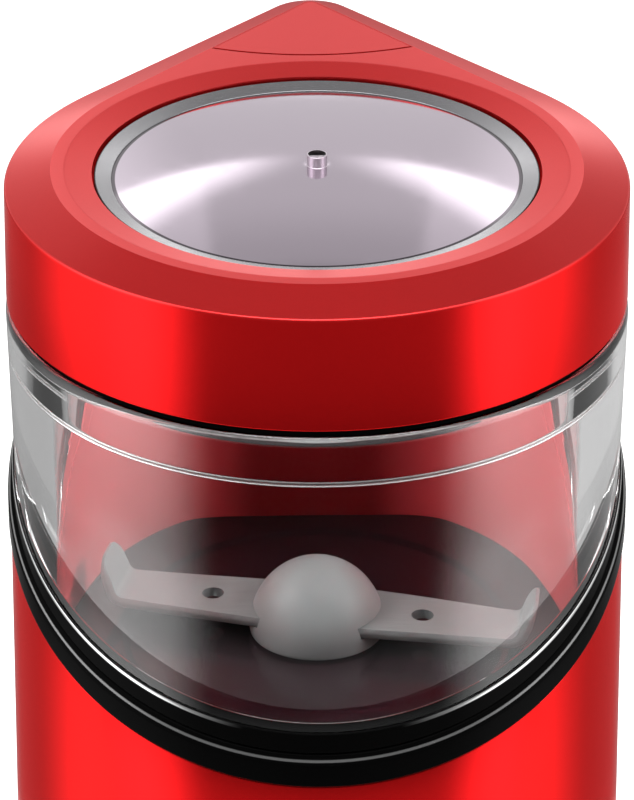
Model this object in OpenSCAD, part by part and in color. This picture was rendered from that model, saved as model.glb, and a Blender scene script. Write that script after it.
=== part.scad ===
// Electric coffee grinder: teardrop body, bowl cut on the slant, clear cover, press lid.
// Millimetres. Origin on the spin axis at table level, Z up, beak toward +Y, front toward -Y.

/* [Outline] */
// Radius of the round part of the body and the lid
body_r = 45; // [44.5:0.5:47]
// Radius of the beak at the back
tip_r = 7; // [6.9:0.1:7.6]
// Distance from the spin axis to the centre of the beak
tip_y = 56.8; // [56.4:0.1:57.4]

/* [Housing] */
// Wall of the moulded housing
shell_wall = 2.4; // [2.2:0.1:2.6]
// Height of the slanted edge, taken on the spin axis
rim_z = 130.1; // [129.5:0.1:131]
// Slant of that edge, rising to the back
rim_tilt = 25.8; // [25.4:0.1:26.2]
// Height of the black trim on the housing
rim_h = 4.7; // [4.2:0.1:5]
// How far the black trims stand out from the body
rim_proud = 0.4; // [0.3:0.1:0.6]
// Width of the housing trim, measured in from the outline
rim_w = 5.6; // [5.2:0.1:5.8]

/* [Bowl] */
// Height of the grinding floor
floor_z = 109.5; // [109:0.1:110]
// Distance from the outline to the bowl's inside, at the floor
bowl_in = 6.7; // [6.6:0.1:7.4]
// Wall of the bowl
bowl_wall = 1.6; // [1.4:0.1:1.7]
// Draft of the bowl's wall in degrees
bowl_draft = 2; // [1.6:0.1:2.1]
// Distance from the spin axis to the flat back of the bowl
bowl_flat_y = 33.1; // [32.5:0.1:33.5]
// Thickness of the steel floor plate
floor_t = 1.5; // [1.2:0.1:1.8]
// Step between the floor's middle and its border
floor_step = 0.5; // [0.3:0.1:0.6]

/* [Blade] */
// Length of one blade arm up to its bend
blade_len = 30.4; // [28:0.2:31]
// Width of the blade at the hub
blade_root_w = 12; // [11:0.2:13]
// Width of the blade at the bend
blade_tip_w = 8.7; // [8:0.1:9.4]
// Sheet thickness of the blade
blade_t = 1.5; // [1.2:0.1:1.8]
// Clearance under the blade
blade_lift = 2.6; // [2.2:0.1:3]
// Height of the upturned blade ends
tab_h = 5.8; // [4:0.2:7]
// Outward lean of the upturned ends in degrees
tab_lean = 22; // [15:1:26]
// Radius of the round hub
hub_r = 10.1; // [9.6:0.1:10.6]
// Radius of the hole in each arm
arm_hole_r = 1.65; // [1.3:0.05:2]
// Distance of that hole from the spin axis
arm_hole_at = 16; // [14.5:0.5:18]
// Resting angle of the blade
blade_turn = -12.6; // [-45:0.2:45]

/* [Lid] */
// Height of the lid's lower edge above the table
lid_z = 165.3; // [165:0.1:166.5]
// Height of the lid's upright side
lid_side_h = 17.4; // [17:0.1:18.5]
// Rise of the lid's sloping border
crown_h = 2.3; // [2:0.1:2.5]
// Width of the sloping border at the front
crown_w = 6.7; // [6.4:0.1:6.9]
// Width of the sloping border at the beak
crown_tip_w = 5.6; // [5.2:0.1:5.8]
// Wall of the lid
lid_wall = 2.4; // [2:0.1:2.6]
// Thickness of the lid's gasket
gasket_t = 0.9; // [0.7:0.1:1.1]

/* [Lid window] */
// Outer radius of the bevel round the disc
bevel_r = 36.3; // [35.5:0.1:36.8]
// Radius of the round recess that holds the disc
window_r = 32.35; // [32:0.05:33]
// Drop of the bevel
bevel_h = 0.7; // [0.5:0.1:1]
// Width of the grey bezel
bezel_w = 2.55; // [2.2:0.05:3]
// Rise of the domed disc
disc_rise = 2; // [1.8:0.1:2.2]
// Sheet thickness of the disc
disc_t = 0.8; // [0.6:0.1:0.9]
// Radius of the stud in its middle
stud_r = 1.45; // [1.3:0.05:1.6]
// Height of the stud over the disc
stud_h = 1.7; // [1.4:0.1:1.9]

/* [Press button] */
// Radius of the button's curved front edge
arc_r = 41.6; // [40.8:0.1:42]
// Distance from the spin axis to the centre of that curve
arc_y = 80; // [79.6:0.1:80.8]
// Travel of the button, its rod and the switch
press = 2.5; // [1.5:0.1:2.6]
// Distance from the spin axis to the push rod
rod_y = 46; // [45.6:0.1:46.4]
// Radius of the push rod
rod_r = 3; // [2.6:0.1:3.1]

/* [Clear cover] */
// Wall of the clear cover
cover_wall = 4.7; // [4:0.1:4.9]
// Height of the black trim on the clear cover
cover_rim_h = 3.1; // [2.8:0.1:3.4]
// Distance from the lid's lower edge down to the step round the cover
step_drop = 8.3; // [7:0.1:9.5]
// Height of the neck that enters the lid
neck_h = 7.6; // [6:0.2:8.4]

/* [Motor] */
// Radius of the motor shaft
shaft_r = 4; // [3.8:0.1:4.2]
// Radius of the spindle that carries the blade
spindle_r = 3; // [2.8:0.1:3.2]
// Radius of the laminated rotor
rotor_r = 15.5; // [15:0.1:15.5]
// Air gap between rotor and field
air_gap = 0.5; // [0.4:0.1:0.8]
// Height of the rubber pad that carries the motor
pad_h = 5; // [4:0.5:6]
// Slots in the rotor
slots = 12; // [8:2:12]
// Radius of the commutator
comm_r = 9; // [8.5:0.1:9.5]
// Radius of the cooling fan
fan_r = 19.5; // [18:0.5:19.5]
// Number of fan vanes
vanes = 9; // [7:1:13]

/* [Base] */
// Height of the rubber foot below the base
foot_h = 2.5; // [2:0.1:3]
// Height of the black base
base_h = 15; // [14.6:0.1:17]
// Outer radius of the foot ring
foot_r = 33; // [31:0.5:33.5]
// Width of the foot ring
foot_w = 6; // [5:0.5:7]
// Radius of the hole in the cord inlet
gland_bore = 2.8; // [2.4:0.1:3]

/* [Fits] */
// Gap between fixed pieces
fit_gap = 0.05; // [0.04:0.01:0.08]
// Radial gap of running shafts
run_gap = 0.03; // [0.02:0.01:0.06]
// Gap between pieces that move past each other
part_gap = 0.3; // [0.3:0.05:0.4]
// Radius of the machine screws
screw_r = 1.5; // [1.4:0.05:1.5]

/* [Hidden] */
$fn = 96;

// colours of the mouldings and metals
red = "#b3121c";
black = "#141416";
grey = "#9a9a9e";
steel = "#b9bcc0";
smoke = "#2a2427";
copper = "#b06a3a";
clear = "#dfe6ea";
rubber = "#222224";
white = "#e6e4de";

// hair of overlap that joins flanks to arcs, and a length beyond the part
sink = 0.03;
far = 200;

// teardrop: angle of the flanks' normals, at the side and on the lid's flat top
flank = asin((body_r - tip_r) / tip_y);
top_r = body_r - crown_w;
top_tip_r = tip_r - crown_tip_w;
top_flank = asin((top_r - top_tip_r) / tip_y);
function top_flank_x(y, inset) = (top_r - inset - y * sin(top_flank)) / cos(top_flank);
function rim_at(y) = rim_z + y * tan(rim_tilt);

// levels of the housing and the lid
shell_z = foot_h + base_h;
seat_z = lid_z - gasket_t;
lid_top = lid_z + lid_side_h;
top_z = lid_top + crown_h;
roof_z = top_z - 4.5;
cover_foot = rim_h + part_gap;
cover_edge = cover_foot + cover_rim_h;

// housing details
deck_t = 2.4;
deck_in = shell_wall + 2 * fit_gap;
ledge_in = shell_wall + 1.2;
ledge_h = 6;
boss_r = 4.2;
boss_at = body_r - 5.6;
base_spots = [[-boss_at * cos(30), -boss_at / 2], [boss_at * cos(30), -boss_at / 2], [0, tip_y + 1.5]];
post_z = shell_z + 4.5;
head_r = 2 * screw_r;
head_h = 1.6 * screw_r;
base_seat = post_z - 6;

// bowl and shaft opening
bowl_r = body_r - bowl_in;
floor_seat = floor_z - floor_t;
chamber_z = floor_seat - 2.5;
seal_r = 8.5;
seal_lip = 1;
function bowl_at(z) = bowl_r + (z - floor_z) * tan(bowl_draft);

// press train behind the bowl
bore_r = rod_r + part_gap + 0.1;
collar_r = rod_r + 3.5;
collar_lo = rim_at(rod_y - collar_r) - deck_t;
collar_hi = rim_at(rod_y) + 5.2;
rod_hi = collar_hi + press + 1;
rod_flange_r = rod_r + 1.8;
rod_flange_t = 2;
rod_flange_z = collar_lo - part_gap - rod_flange_t;
switch_w = 19.8;
switch_d = 6.4;
switch_h = 10.2;
shelf_t = 3;
rod_spring_h = 13.5;
shelf_lo = rod_flange_z - rod_spring_h - shelf_t;
switch_drop = 12;
switch_top = shelf_lo - switch_drop;
plunger_r = 1.2;
plunger_hi = switch_top + press + 1;
plunger_lo = switch_top - 4;
rod_lo = plunger_hi + part_gap;
plate_t = 2;
plate_y = rod_y - switch_d / 2 - plate_t;
plate_w = 26;
bracket_spots = [[-10, shelf_lo - 4], [10, shelf_lo - 4]];
small_r = 1.25;
peg_x = 4.75;
peg_z = switch_top - switch_h + 2.5;

// motor levels, hung from the bowl
post_h = 3;
damper_t = 2;
mount_hi = chamber_z - post_h - damper_t;
mount_t = 3.5;
mount_lo = mount_hi - mount_t;
mount_r = 31;
hang_at = 26;
hang_spots = [for (a = [90, 210, 330]) [hang_at * cos(a), hang_at * sin(a)]];
bearing_r = shaft_r + 2.5;
bearing_h = 6;
hub_boss_r = bearing_r + 2.5;
pillar_r = screw_r + 2;
pad_r = 8;
pad_z = foot_h + 8.5;
bracket_z = pad_z + pad_h;
bracket_h = 36;
stack_z = bracket_z + bracket_h;
stack_top = mount_lo - 21;
stack_h = stack_top - stack_z;
field_r = rotor_r + air_gap;
coil_in = field_r + 0.5;
coil_out = field_r + 4.4;
coil_low_y = 2;
coil_high_y = 11;
coil_over = 6;
bolt_wall = 3.3;
bolt_x = coil_out + bolt_wall;
core_w = 2 * (bolt_x + bolt_wall);
core_back = 4.6;
core_d = 2 * (coil_out + core_back);
core_round = 8.3;
core_r = bolt_x + core_round;
bolt_grip = 13;
comm_z = stack_z - 22;
comm_h = 12;
bracket_t = 4;
bracket_r = bolt_x + 2 * bolt_wall;
bracket_vent_r = bracket_r * 0.18;
bracket_vent_at = bracket_r * 0.66;
brush_w = 6.2;
brush_z = comm_z + comm_h / 2;
holder_wall = 1.4;
holder_from = comm_r + 2;
holder_to = comm_r + 20;
brush_seat_w = 2 * brush_w;
brush_seat_len = 13;
brush_seat_mid = (holder_to + holder_from) / 2 + holder_wall / 2;
brush_from = comm_r + part_gap;
brush_to = brush_from + 13;
fan_z = mount_lo - 12;
fan_h = 7;
spindle_z = chamber_z - 1.5;
shaft_lo = bracket_z + 1.3;
wind_at = 11.8;
wind_r = 1.7;
turn_in = shaft_r * 1.5;
turn_out = rotor_r * 0.92;
turn_h = 6;

// hub and blade
hub_lo = floor_z + part_gap;
hub_mid = hub_lo + 0.6;
hub_top = hub_mid + hub_r;
spindle_hi = hub_top - 3.5;
blade_z = floor_z + blade_lift;
flat_x = spindle_r - 0.7;

// base details
base_in = 0.8;
base_wall = 2.6;
base_floor = 2.5;
spigot_in = shell_wall + 2 * fit_gap;
spigot_wall = 1.8;
tongue_w = foot_w / 3;
gland_r = gland_bore + 1.4;
gland_lip = gland_r + 1.4;
gland_out = (body_r + tip_r) / 2 - base_in;
gland_at = [gland_out * cos(flank), gland_out * sin(flank) + tip_y / 2];
gland_z = foot_h + base_floor + gland_lip + 0.4;
gland_wall = spigot_in + spigot_wall - base_in + sink + fit_gap;

// lid details
recess_z = top_z - 3.1;
bezel_r = window_r - 0.25;
disc_r = bezel_r - bezel_w;
disc_flange_r = bezel_r - 1.1;
dome_foot = recess_z + 1.3;
dome_top = dome_foot + disc_rise;
dome_r = (disc_r * disc_r + disc_rise * disc_rise) / (2 * disc_rise);
cup_r = stud_r * 0.85;
cup_d = stud_r * 0.35;
cup_ball = (cup_r * cup_r + cup_d * cup_d) / (2 * cup_d);
lid_boss_r = 4;
lid_spots = [[-26, -15], [26, -15], [0, 30]];
cover_in = 0.7;
band_in = -0.1;
neck_in = lid_wall + 0.5;
neck_wall = 1.8;
cover_roof_t = 2;
cover_roof_z = seat_z - 1.4;
roof_top = cover_roof_z + cover_roof_t;
tongue_in = cover_in + 1.2;
tongue_out = tongue_in + 1.2;
tongue_h = 1.5;
cover_rim_w = cover_in + cover_wall;

// button details
stem_r = rod_r + 0.3;
stem_lo = rod_hi + part_gap;
stem_bore = stem_r + part_gap;
stem_tube_r = stem_bore + 1.9;
hole_in = 0.2;
button_in = hole_in + part_gap;
button_arc = arc_r - part_gap;
button_lo = top_z - 7;
button_lip = 1.6;
button_wall = 1.6;
pocket_r = stem_r + 2.3;
button_roof = top_z - 2.3;
coil_r = stem_r + 1.3;

// teardrop prism of a round part and a beak
module teardrop(h, round_r, beak_r) {
    rb = round_r - sink;
    rt = beak_r - sink;
    turn = asin((round_r - beak_r) / tip_y);
    nx = cos(turn);
    ny = sin(turn);
    cylinder(r = round_r, h = h);
    translate([0, tip_y, 0]) cylinder(r = beak_r, h = h);
    linear_extrude(h)
        polygon([[-rb * nx, rb * ny], [-rt * nx, tip_y + rt * ny],
            [rt * nx, tip_y + rt * ny], [rb * nx, rb * ny]]);
}

// the body's teardrop, its outline moved in by inset
module drop(h, inset = 0) {
    teardrop(h, body_r - inset, tip_r - inset);
}

// teardrop prism between two levels
module drop_to(z0, z1, inset = 0) {
    translate([0, 0, z0]) drop(z1 - z0, inset);
}

// everything below the slanted edge moved up by rise
module under_rim(rise) {
    translate([0, 0, rim_z + rise]) rotate([rim_tilt, 0, 0]) translate([-far, -far, -2 * far])
        cube([2 * far, 2 * far, 2 * far]);
}

// slanted teardrop ring between two rises of the edge, cut level at z_max
module slant_ring(low, high, outer, inner, z_max) {
    difference() {
        intersection() {
            drop_to(rim_z - 60, z_max, outer);
            under_rim(high);
        }
        under_rim(low);
        drop_to(rim_z - 61, z_max + 1, inner);
    }
}

// inside of the bowl between two levels, grown by its wall
module bowl_space(z0, z1, grow = 0) {
    intersection() {
        translate([0, 0, z0])
            cylinder(r1 = bowl_at(z0) + grow, r2 = bowl_at(z1) + grow, h = z1 - z0);
        translate([-far, bowl_flat_y + grow - 2 * far, z0 - 1]) cube([2 * far, 2 * far, z1 - z0 + 2]);
    }
}

// round bar between two levels
module bar(x, y, z0, z1, r) {
    translate([x, y, z0]) cylinder(r = r, h = z1 - z0);
}

// screw pointing up: pan head below z, shank above
module screw_up(x, y, z, length, r) {
    difference() {
        union() {
            bar(x, y, z - 1.6 * r, z, 2 * r);
            bar(x, y, z - 0.1, z + length, r);
        }
        translate([x - 1.3 * r, y - 0.2 * r, z - 2 * r]) cube([2.6 * r, 0.4 * r, 1.2 * r]);
        translate([x - 0.2 * r, y - 1.3 * r, z - 2 * r]) cube([0.4 * r, 2.6 * r, 1.2 * r]);
    }
}

// closed helical wire standing on z = 0
module coil(mid_r, wire_r, height, turns) {
    sides = 6;
    per = 14;
    n = ceil(turns * per);
    rise = height - 2 * wire_r;
    pts = [for (i = [0:n], k = [0:sides - 1])
        let (a = 360 * turns * i / n, b = 360 * k / sides)
        [(mid_r + wire_r * cos(b)) * cos(a), (mid_r + wire_r * cos(b)) * sin(a),
            wire_r + rise * i / n + wire_r * sin(b)]];
    walls = [for (i = [0:n - 1], k = [0:sides - 1])
        [i * sides + k, i * sides + (k + 1) % sides,
            (i + 1) * sides + (k + 1) % sides, (i + 1) * sides + k]];
    first = [for (k = [sides - 1:-1:0]) k];
    last = [for (k = [0:sides - 1]) n * sides + k];
    polyhedron(points = pts, faces = concat([first], walls, [last]));
}

// moulded housing with the ledge for the bowl and three screw bosses
module housing_shell() color(red) {
    difference() {
        union() {
            slant_tube();
            slant_ledge();
            for (p = base_spots) bar(p[0], p[1], post_z, post_z + 18, boss_r);
        }
        for (p = base_spots) bar(p[0], p[1], post_z - 1, post_z + 15, screw_r + fit_gap);
    }
}

module slant_tube() {
    difference() {
        intersection() {
            drop_to(shell_z, seat_z);
            under_rim(0);
        }
        drop_to(shell_z - 1, seat_z + 1, shell_wall);
    }
}

module slant_ledge() {
    difference() {
        intersection() {
            drop_to(shell_z + 20, seat_z, shell_wall - 0.5);
            under_rim(-deck_t);
        }
        under_rim(-deck_t - ledge_h);
        drop_to(shell_z + 19, seat_z + 1, ledge_in);
    }
}

// black trim closing the housing's slanted edge
module housing_rim() color(black) {
    slant_ring(0, rim_h, -rim_proud, rim_w, seat_z - 0.5);
}

// bowl, its slanted deck, the rod's collar and the feet of motor and switch
module grind_chamber() color(red) {
    difference() {
        union() {
            intersection() {
                bowl_space(chamber_z, lid_z, bowl_wall);
                under_rim(0);
            }
            slant_ring(-deck_t, 0, deck_in, deck_in + 4, seat_z);
            deck_behind();
            bar(0, rod_y, collar_lo, collar_hi, collar_r);
            for (p = hang_spots) bar(p[0], p[1], chamber_z - post_h, chamber_z + 0.5, 3.6);
            for (p = bracket_spots) translate([p[0], plate_y, p[1]]) rotate([90, 0, 0])
                cylinder(r = 3, h = plate_y - bowl_flat_y - bowl_wall + 0.5);
        }
        bowl_space(floor_seat, lid_z + 1);
        bar(0, 0, chamber_z - 1, floor_seat + 1, shaft_r + 1);
        bar(0, 0, chamber_z + seal_lip, floor_seat + 1, seal_r);
        bar(0, rod_y, collar_lo - 1, collar_hi + 1, bore_r);
        bar(0, rod_y, collar_hi - 2, collar_hi + 1, rod_r + 2);
        for (p = hang_spots)
            bar(p[0], p[1], chamber_z - post_h - 1, floor_seat - 0.8, screw_r + fit_gap);
        for (p = bracket_spots) translate([p[0], plate_y + 1, p[1]]) rotate([90, 0, 0])
            cylinder(r = small_r + fit_gap, h = 6.2);
    }
}

// deck between the bowl's flat back and the beak
module deck_behind() {
    difference() {
        intersection() {
            drop_to(rim_z - 20, seat_z, deck_in);
            under_rim(0);
            translate([-far, bowl_flat_y - 4, 0]) cube([2 * far, far, far]);
        }
        under_rim(-deck_t);
    }
}

// dark steel floor plate with a raised border
module bowl_floor() color(smoke) {
    r = bowl_at(floor_seat) - 3 * fit_gap;
    intersection() {
        rotate_extrude() polygon([[seal_r, floor_seat], [r, floor_seat], [r, floor_z + floor_step],
            [r - 9, floor_z + floor_step], [r - 10, floor_z], [seal_r, floor_z]]);
        translate([-far, bowl_flat_y - 3 * fit_gap - 2 * far, 0]) cube([2 * far, 2 * far, far]);
    }
}

// lip seal where the spindle enters the bowl
module shaft_seal() color(rubber) {
    top = floor_z - 0.2;
    rotate_extrude() polygon([[spindle_r + 2 * run_gap, chamber_z + seal_lip],
        [seal_r - fit_gap, chamber_z + seal_lip], [seal_r - fit_gap, top], [spindle_r + 2, top],
        [spindle_r + 0.8, top - 1], [spindle_r + 2 * run_gap, top - 1]]);
}

// wiper ring on top of the rod's collar
module rod_seal() color(rubber) {
    translate([0, rod_y, 0]) rotate_extrude()
        polygon([[rod_r + 2 * run_gap, collar_hi - 1.4], [rod_r + 0.8, collar_hi - 2],
            [rod_r + 2 - fit_gap, collar_hi - 2], [rod_r + 2 - fit_gap, collar_hi],
            [rod_r + 2 * run_gap, collar_hi]]);
}

// rod that carries the press from the lid down to the switch
module push_rod() color(white) {
    bar(0, rod_y, rod_lo, rod_hi - 0.8, rod_r);
    translate([0, rod_y, rod_hi - 0.8]) cylinder(r1 = rod_r, r2 = rod_r - 0.8, h = 0.8);
    bar(0, rod_y, rod_flange_z, rod_flange_z + rod_flange_t, rod_flange_r);
}

// spring under the rod's flange
module rod_spring() color(steel) {
    z0 = shelf_lo + shelf_t;
    translate([0, rod_y, z0]) coil(rod_r + 1, 0.35, rod_flange_z - z0, 6);
}

// frame that carries the switch and the rod's lower guide
module switch_bracket() color(black) {
    y1 = plate_y + plate_t;
    difference() {
        union() {
            translate([-plate_w / 2, plate_y, switch_top - switch_h - 1])
                cube([plate_w, plate_t, shelf_lo + shelf_t - switch_top + switch_h + 1]);
            translate([-8, y1 - 0.5, shelf_lo]) cube([16, rod_y + 6 - y1 + 0.5, shelf_t]);
            for (x = [-6.2, 4.8]) translate([x, 0, 0]) rotate([90, 0, 90]) linear_extrude(1.4)
                polygon([[y1 - 0.5, shelf_lo + 0.5], [y1 - 0.5, shelf_lo - 6], [y1, shelf_lo - 6],
                    [rod_y + 3, shelf_lo], [rod_y + 3, shelf_lo + 0.5]]);
            for (x = [-peg_x, peg_x]) translate([x, y1 - 0.5, peg_z]) rotate([-90, 0, 0])
                cylinder(r = plunger_r, h = switch_d + 1);
        }
        bar(0, rod_y, shelf_lo - 1, shelf_lo + shelf_t + 1, rod_r + part_gap);
        for (p = bracket_spots) translate([p[0], plate_y - 1, p[1]]) rotate([-90, 0, 0])
            cylinder(r = small_r + 0.15, h = plate_t + 2);
    }
}

// two screws of the switch frame
module switch_screws() color(steel) {
    for (p = bracket_spots) translate([p[0], plate_y + plate_t, p[1]]) rotate([90, 0, 0])
        screw_up(0, 0, 0, plate_t + 4.5, small_r);
}

// switch body with pegged holes and three blade terminals
module micro_switch() color(black) {
    y0 = plate_y + plate_t;
    z0 = switch_top - switch_h;
    difference() {
        union() {
            translate([-switch_w / 2, y0, z0]) cube([switch_w, switch_d, switch_h]);
            for (x = [-8, 0, 8]) translate([x - 1.4, rod_y - 0.4, z0 - 5.5]) cube([2.8, 0.8, 6]);
        }
        for (x = [-peg_x, peg_x]) translate([x, y0 - 1, peg_z]) rotate([-90, 0, 0])
            cylinder(r = plunger_r + fit_gap, h = switch_d + 2);
        bar(0, rod_y, plunger_lo - press - 0.5, switch_top + 1, plunger_r + part_gap);
    }
}

// plunger of the switch
module switch_plunger() color(white) {
    bar(0, rod_y, plunger_lo, plunger_hi - 0.4, plunger_r);
    translate([0, rod_y, plunger_hi - 0.4])
        cylinder(r1 = plunger_r, r2 = plunger_r - 0.4, h = 0.4);
}

// upper end frame of the motor
module motor_mount() color(steel) {
    difference() {
        union() {
            bar(0, 0, mount_lo, mount_hi, mount_r);
            bar(0, 0, mount_lo - 3, mount_hi + 1.5, hub_boss_r);
            for (x = [-bolt_x, bolt_x]) bar(x, 0, stack_top, mount_lo + 0.5, pillar_r);
        }
        bar(0, 0, mount_lo - 4, mount_hi + 2, shaft_r + 0.6);
        bar(0, 0, mount_lo - 2, mount_hi + 2, bearing_r);
        for (x = [-bolt_x, bolt_x]) bar(x, 0, stack_top - 1, stack_top + bolt_grip + 2, screw_r + fit_gap);
        for (p = hang_spots) bar(p[0], p[1], mount_lo - 1, mount_hi + 1, screw_r + 0.2);
        for (a = [30, 150, 270]) rotate([0, 0, a]) translate([19.5, 0, mount_lo - 1])
            cylinder(r = 4.5, h = mount_t + 2);
    }
}

// three rubber dampers between motor and bowl
module motor_dampers() color(rubber) {
    for (p = hang_spots) difference() {
        bar(p[0], p[1], mount_hi, mount_hi + damper_t, 4.5);
        bar(p[0], p[1], mount_hi - 1, mount_hi + damper_t + 1, screw_r + 0.2);
    }
}

// three screws that hang the motor
module motor_screws() color(steel) {
    for (p = hang_spots) screw_up(p[0], p[1], mount_lo, floor_seat - 1 - mount_lo, screw_r);
}

// sleeve bearing with rounded-off bore ends
module sleeve(z0) {
    translate([0, 0, z0]) rotate_extrude()
        polygon([[shaft_r + run_gap, 0.4], [shaft_r + 0.4, 0], [bearing_r - fit_gap, 0],
            [bearing_r - fit_gap, bearing_h], [shaft_r + 0.4, bearing_h],
            [shaft_r + run_gap, bearing_h - 0.4]]);
}

module upper_bearing() color(copper) {
    sleeve(mount_lo - 2);
}

module lower_bearing() color(copper) {
    sleeve(bracket_z + 1);
}

// laminated field with two pole arcs and windows for the coils
module field_core() color(grey) {
    difference() {
        intersection() {
            translate([-core_w / 2, -core_d / 2, stack_z]) cube([core_w, core_d, stack_h]);
            bar(0, 0, stack_z - 1, stack_top + 1, core_r);
        }
        bar(0, 0, stack_z - 1, stack_top + 1, field_r);
        intersection() {
            bar(0, 0, stack_z - 1, stack_top + 1, coil_out + 0.2);
            translate([-far, -coil_high_y - 0.3, stack_z - 1])
                cube([2 * far, 2 * coil_high_y + 0.6, stack_h + 2]);
        }
        for (x = [-bolt_x, bolt_x]) bar(x, 0, stack_z - 1, stack_top + 1, screw_r + 0.2);
    }
}

// two field coils, their sides in the windows and their ends bowed round the rotor
module field_coils() color(copper) {
    for (a = [0, 180]) rotate([0, 0, a]) difference() {
        intersection() {
            bar(0, 0, stack_z - coil_over, stack_top + coil_over, coil_out);
            translate([-far, coil_low_y, 0]) cube([2 * far, far, far]);
        }
        bar(0, 0, stack_z - far, stack_top + far, coil_in);
        translate([-far, coil_high_y, stack_z - 0.3]) cube([2 * far, far, stack_h + 0.6]);
    }
}

// lower end frame: bearing cup, two pillars and the brush shelves
module end_bracket() color(black) {
    difference() {
        union() {
            bar(0, 0, bracket_z, bracket_z + bracket_t, bracket_r);
            bar(0, 0, bracket_z, bracket_z + bearing_h + 2, bearing_r + 3);
            for (x = [-bolt_x, bolt_x]) bar(x, 0, bracket_z + 1, stack_z, pillar_r);
            for (s = [-1, 1])
                translate([-brush_seat_w / 2, s * brush_seat_mid - brush_seat_len / 2, bracket_z + 1])
                    cube([brush_seat_w, brush_seat_len, brush_z - brush_w / 2 - holder_wall - bracket_z - 1]);
        }
        bar(0, 0, bracket_z + 1, bracket_z + far, bearing_r);
        for (x = [-bolt_x, bolt_x]) bar(x, 0, bracket_z - 1, stack_z + 1, screw_r + 0.2);
        for (a = [45:90:315]) rotate([0, 0, a]) translate([bracket_vent_at, 0, bracket_z - 1])
            cylinder(r = bracket_vent_r, h = bracket_t + 2);
    }
}

// two long bolts through the field
module through_bolts() color(steel) {
    for (x = [-bolt_x, bolt_x]) screw_up(x, 0, bracket_z, stack_top + bolt_grip - bracket_z, screw_r);
}

// box along Y on both sides of the commutator
module brush_box(y0, y1, w) {
    for (s = [0, 180]) rotate([0, 0, s]) translate([-w / 2, y0, brush_z - w / 2])
        cube([w, y1 - y0, w]);
}

module brush_holders() color("#b8923a") {
    difference() {
        brush_box(holder_from, holder_to, brush_w + 2 * holder_wall);
        brush_box(holder_from - 1, holder_to - 1, brush_w + 2 * fit_gap);
    }
}

module carbon_brushes() color("#303033") {
    difference() {
        brush_box(brush_from - 1, brush_to, brush_w);
        bar(0, 0, comm_z, comm_z + comm_h, brush_from);
    }
}

module brush_springs() color(steel) {
    for (s = [0, 180]) rotate([0, 0, s]) translate([0, brush_to, brush_z]) rotate([-90, 0, 0])
        coil(2.2, 0.3, holder_to - 1 - brush_to, 4);
}

// rubber pad under the motor
module motor_foot() color(rubber) {
    bar(0, 0, pad_z, bracket_z, pad_r);
}

// motor shaft with a flatted spindle
module motor_shaft() color(steel) {
    difference() {
        union() {
            bar(0, 0, shaft_lo, spindle_z, shaft_r);
            bar(0, 0, spindle_z - 0.5, spindle_hi - 0.5, spindle_r);
            translate([0, 0, spindle_hi - 0.5]) cylinder(r1 = spindle_r, r2 = spindle_r - 0.5, h = 0.5);
        }
        rotate([0, 0, blade_turn]) translate([flat_x, -10, hub_lo]) cube([20, 20, 20]);
    }
}

// laminated rotor with half-closed slots
module armature_core() color(grey) {
    difference() {
        bar(0, 0, stack_z, stack_top, rotor_r);
        bar(0, 0, stack_z - 1, stack_top + 1, shaft_r + run_gap);
        for (i = [0:slots - 1]) rotate([0, 0, i * 360 / slots]) {
            bar(wind_at, 0, stack_z - 1, stack_top + 1, wind_r + 0.2);
            translate([wind_at, -0.7, stack_z - 1]) cube([10, 1.4, stack_h + 2]);
        }
    }
}

// rotor winding: bars in the slots joined by the end turns
module armature_winding() color(copper) {
    for (i = [0:slots - 1]) rotate([0, 0, i * 360 / slots])
        bar(wind_at, 0, stack_z - 1.5, stack_top + 1.5, wind_r);
    translate([0, 0, stack_top + 0.3]) end_turns();
    translate([0, 0, stack_z - 0.3]) mirror([0, 0, 1]) end_turns();
}

module end_turns() {
    rotate_extrude() polygon([[turn_in, 0], [turn_out, 0], [turn_out, turn_h * 0.67],
        [turn_out - turn_h * 0.27, turn_h], [turn_in + turn_h * 0.33, turn_h], [turn_in, turn_h * 0.73]]);
}

// commutator with insulating slots and risers
module commutator() color(copper) {
    difference() {
        union() {
            bar(0, 0, comm_z, comm_z + comm_h, comm_r);
            bar(0, 0, comm_z + comm_h - 0.5, comm_z + comm_h + 2, comm_r + 1.5);
        }
        bar(0, 0, comm_z - 1, comm_z + comm_h + 3, shaft_r + run_gap);
        for (i = [0:slots - 1]) rotate([0, 0, i * 360 / slots])
            translate([comm_r - 1, -0.25, comm_z - 1]) cube([6, 0.5, comm_h + 4]);
    }
}

// fan under the upper end frame
module cooling_fan() color(black) {
    difference() {
        union() {
            bar(0, 0, fan_z, fan_z + 1.2, fan_r);
            bar(0, 0, fan_z, fan_z + fan_h, shaft_r + 3);
            for (i = [0:vanes - 1]) rotate([0, 0, i * 360 / vanes])
                translate([shaft_r + 2, -0.6, fan_z + 0.6]) cube([fan_r - shaft_r - 2.5, 1.2, fan_h - 0.6]);
        }
        bar(0, 0, fan_z - 1, fan_z + fan_h + 1, shaft_r + run_gap);
    }
}

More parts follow.
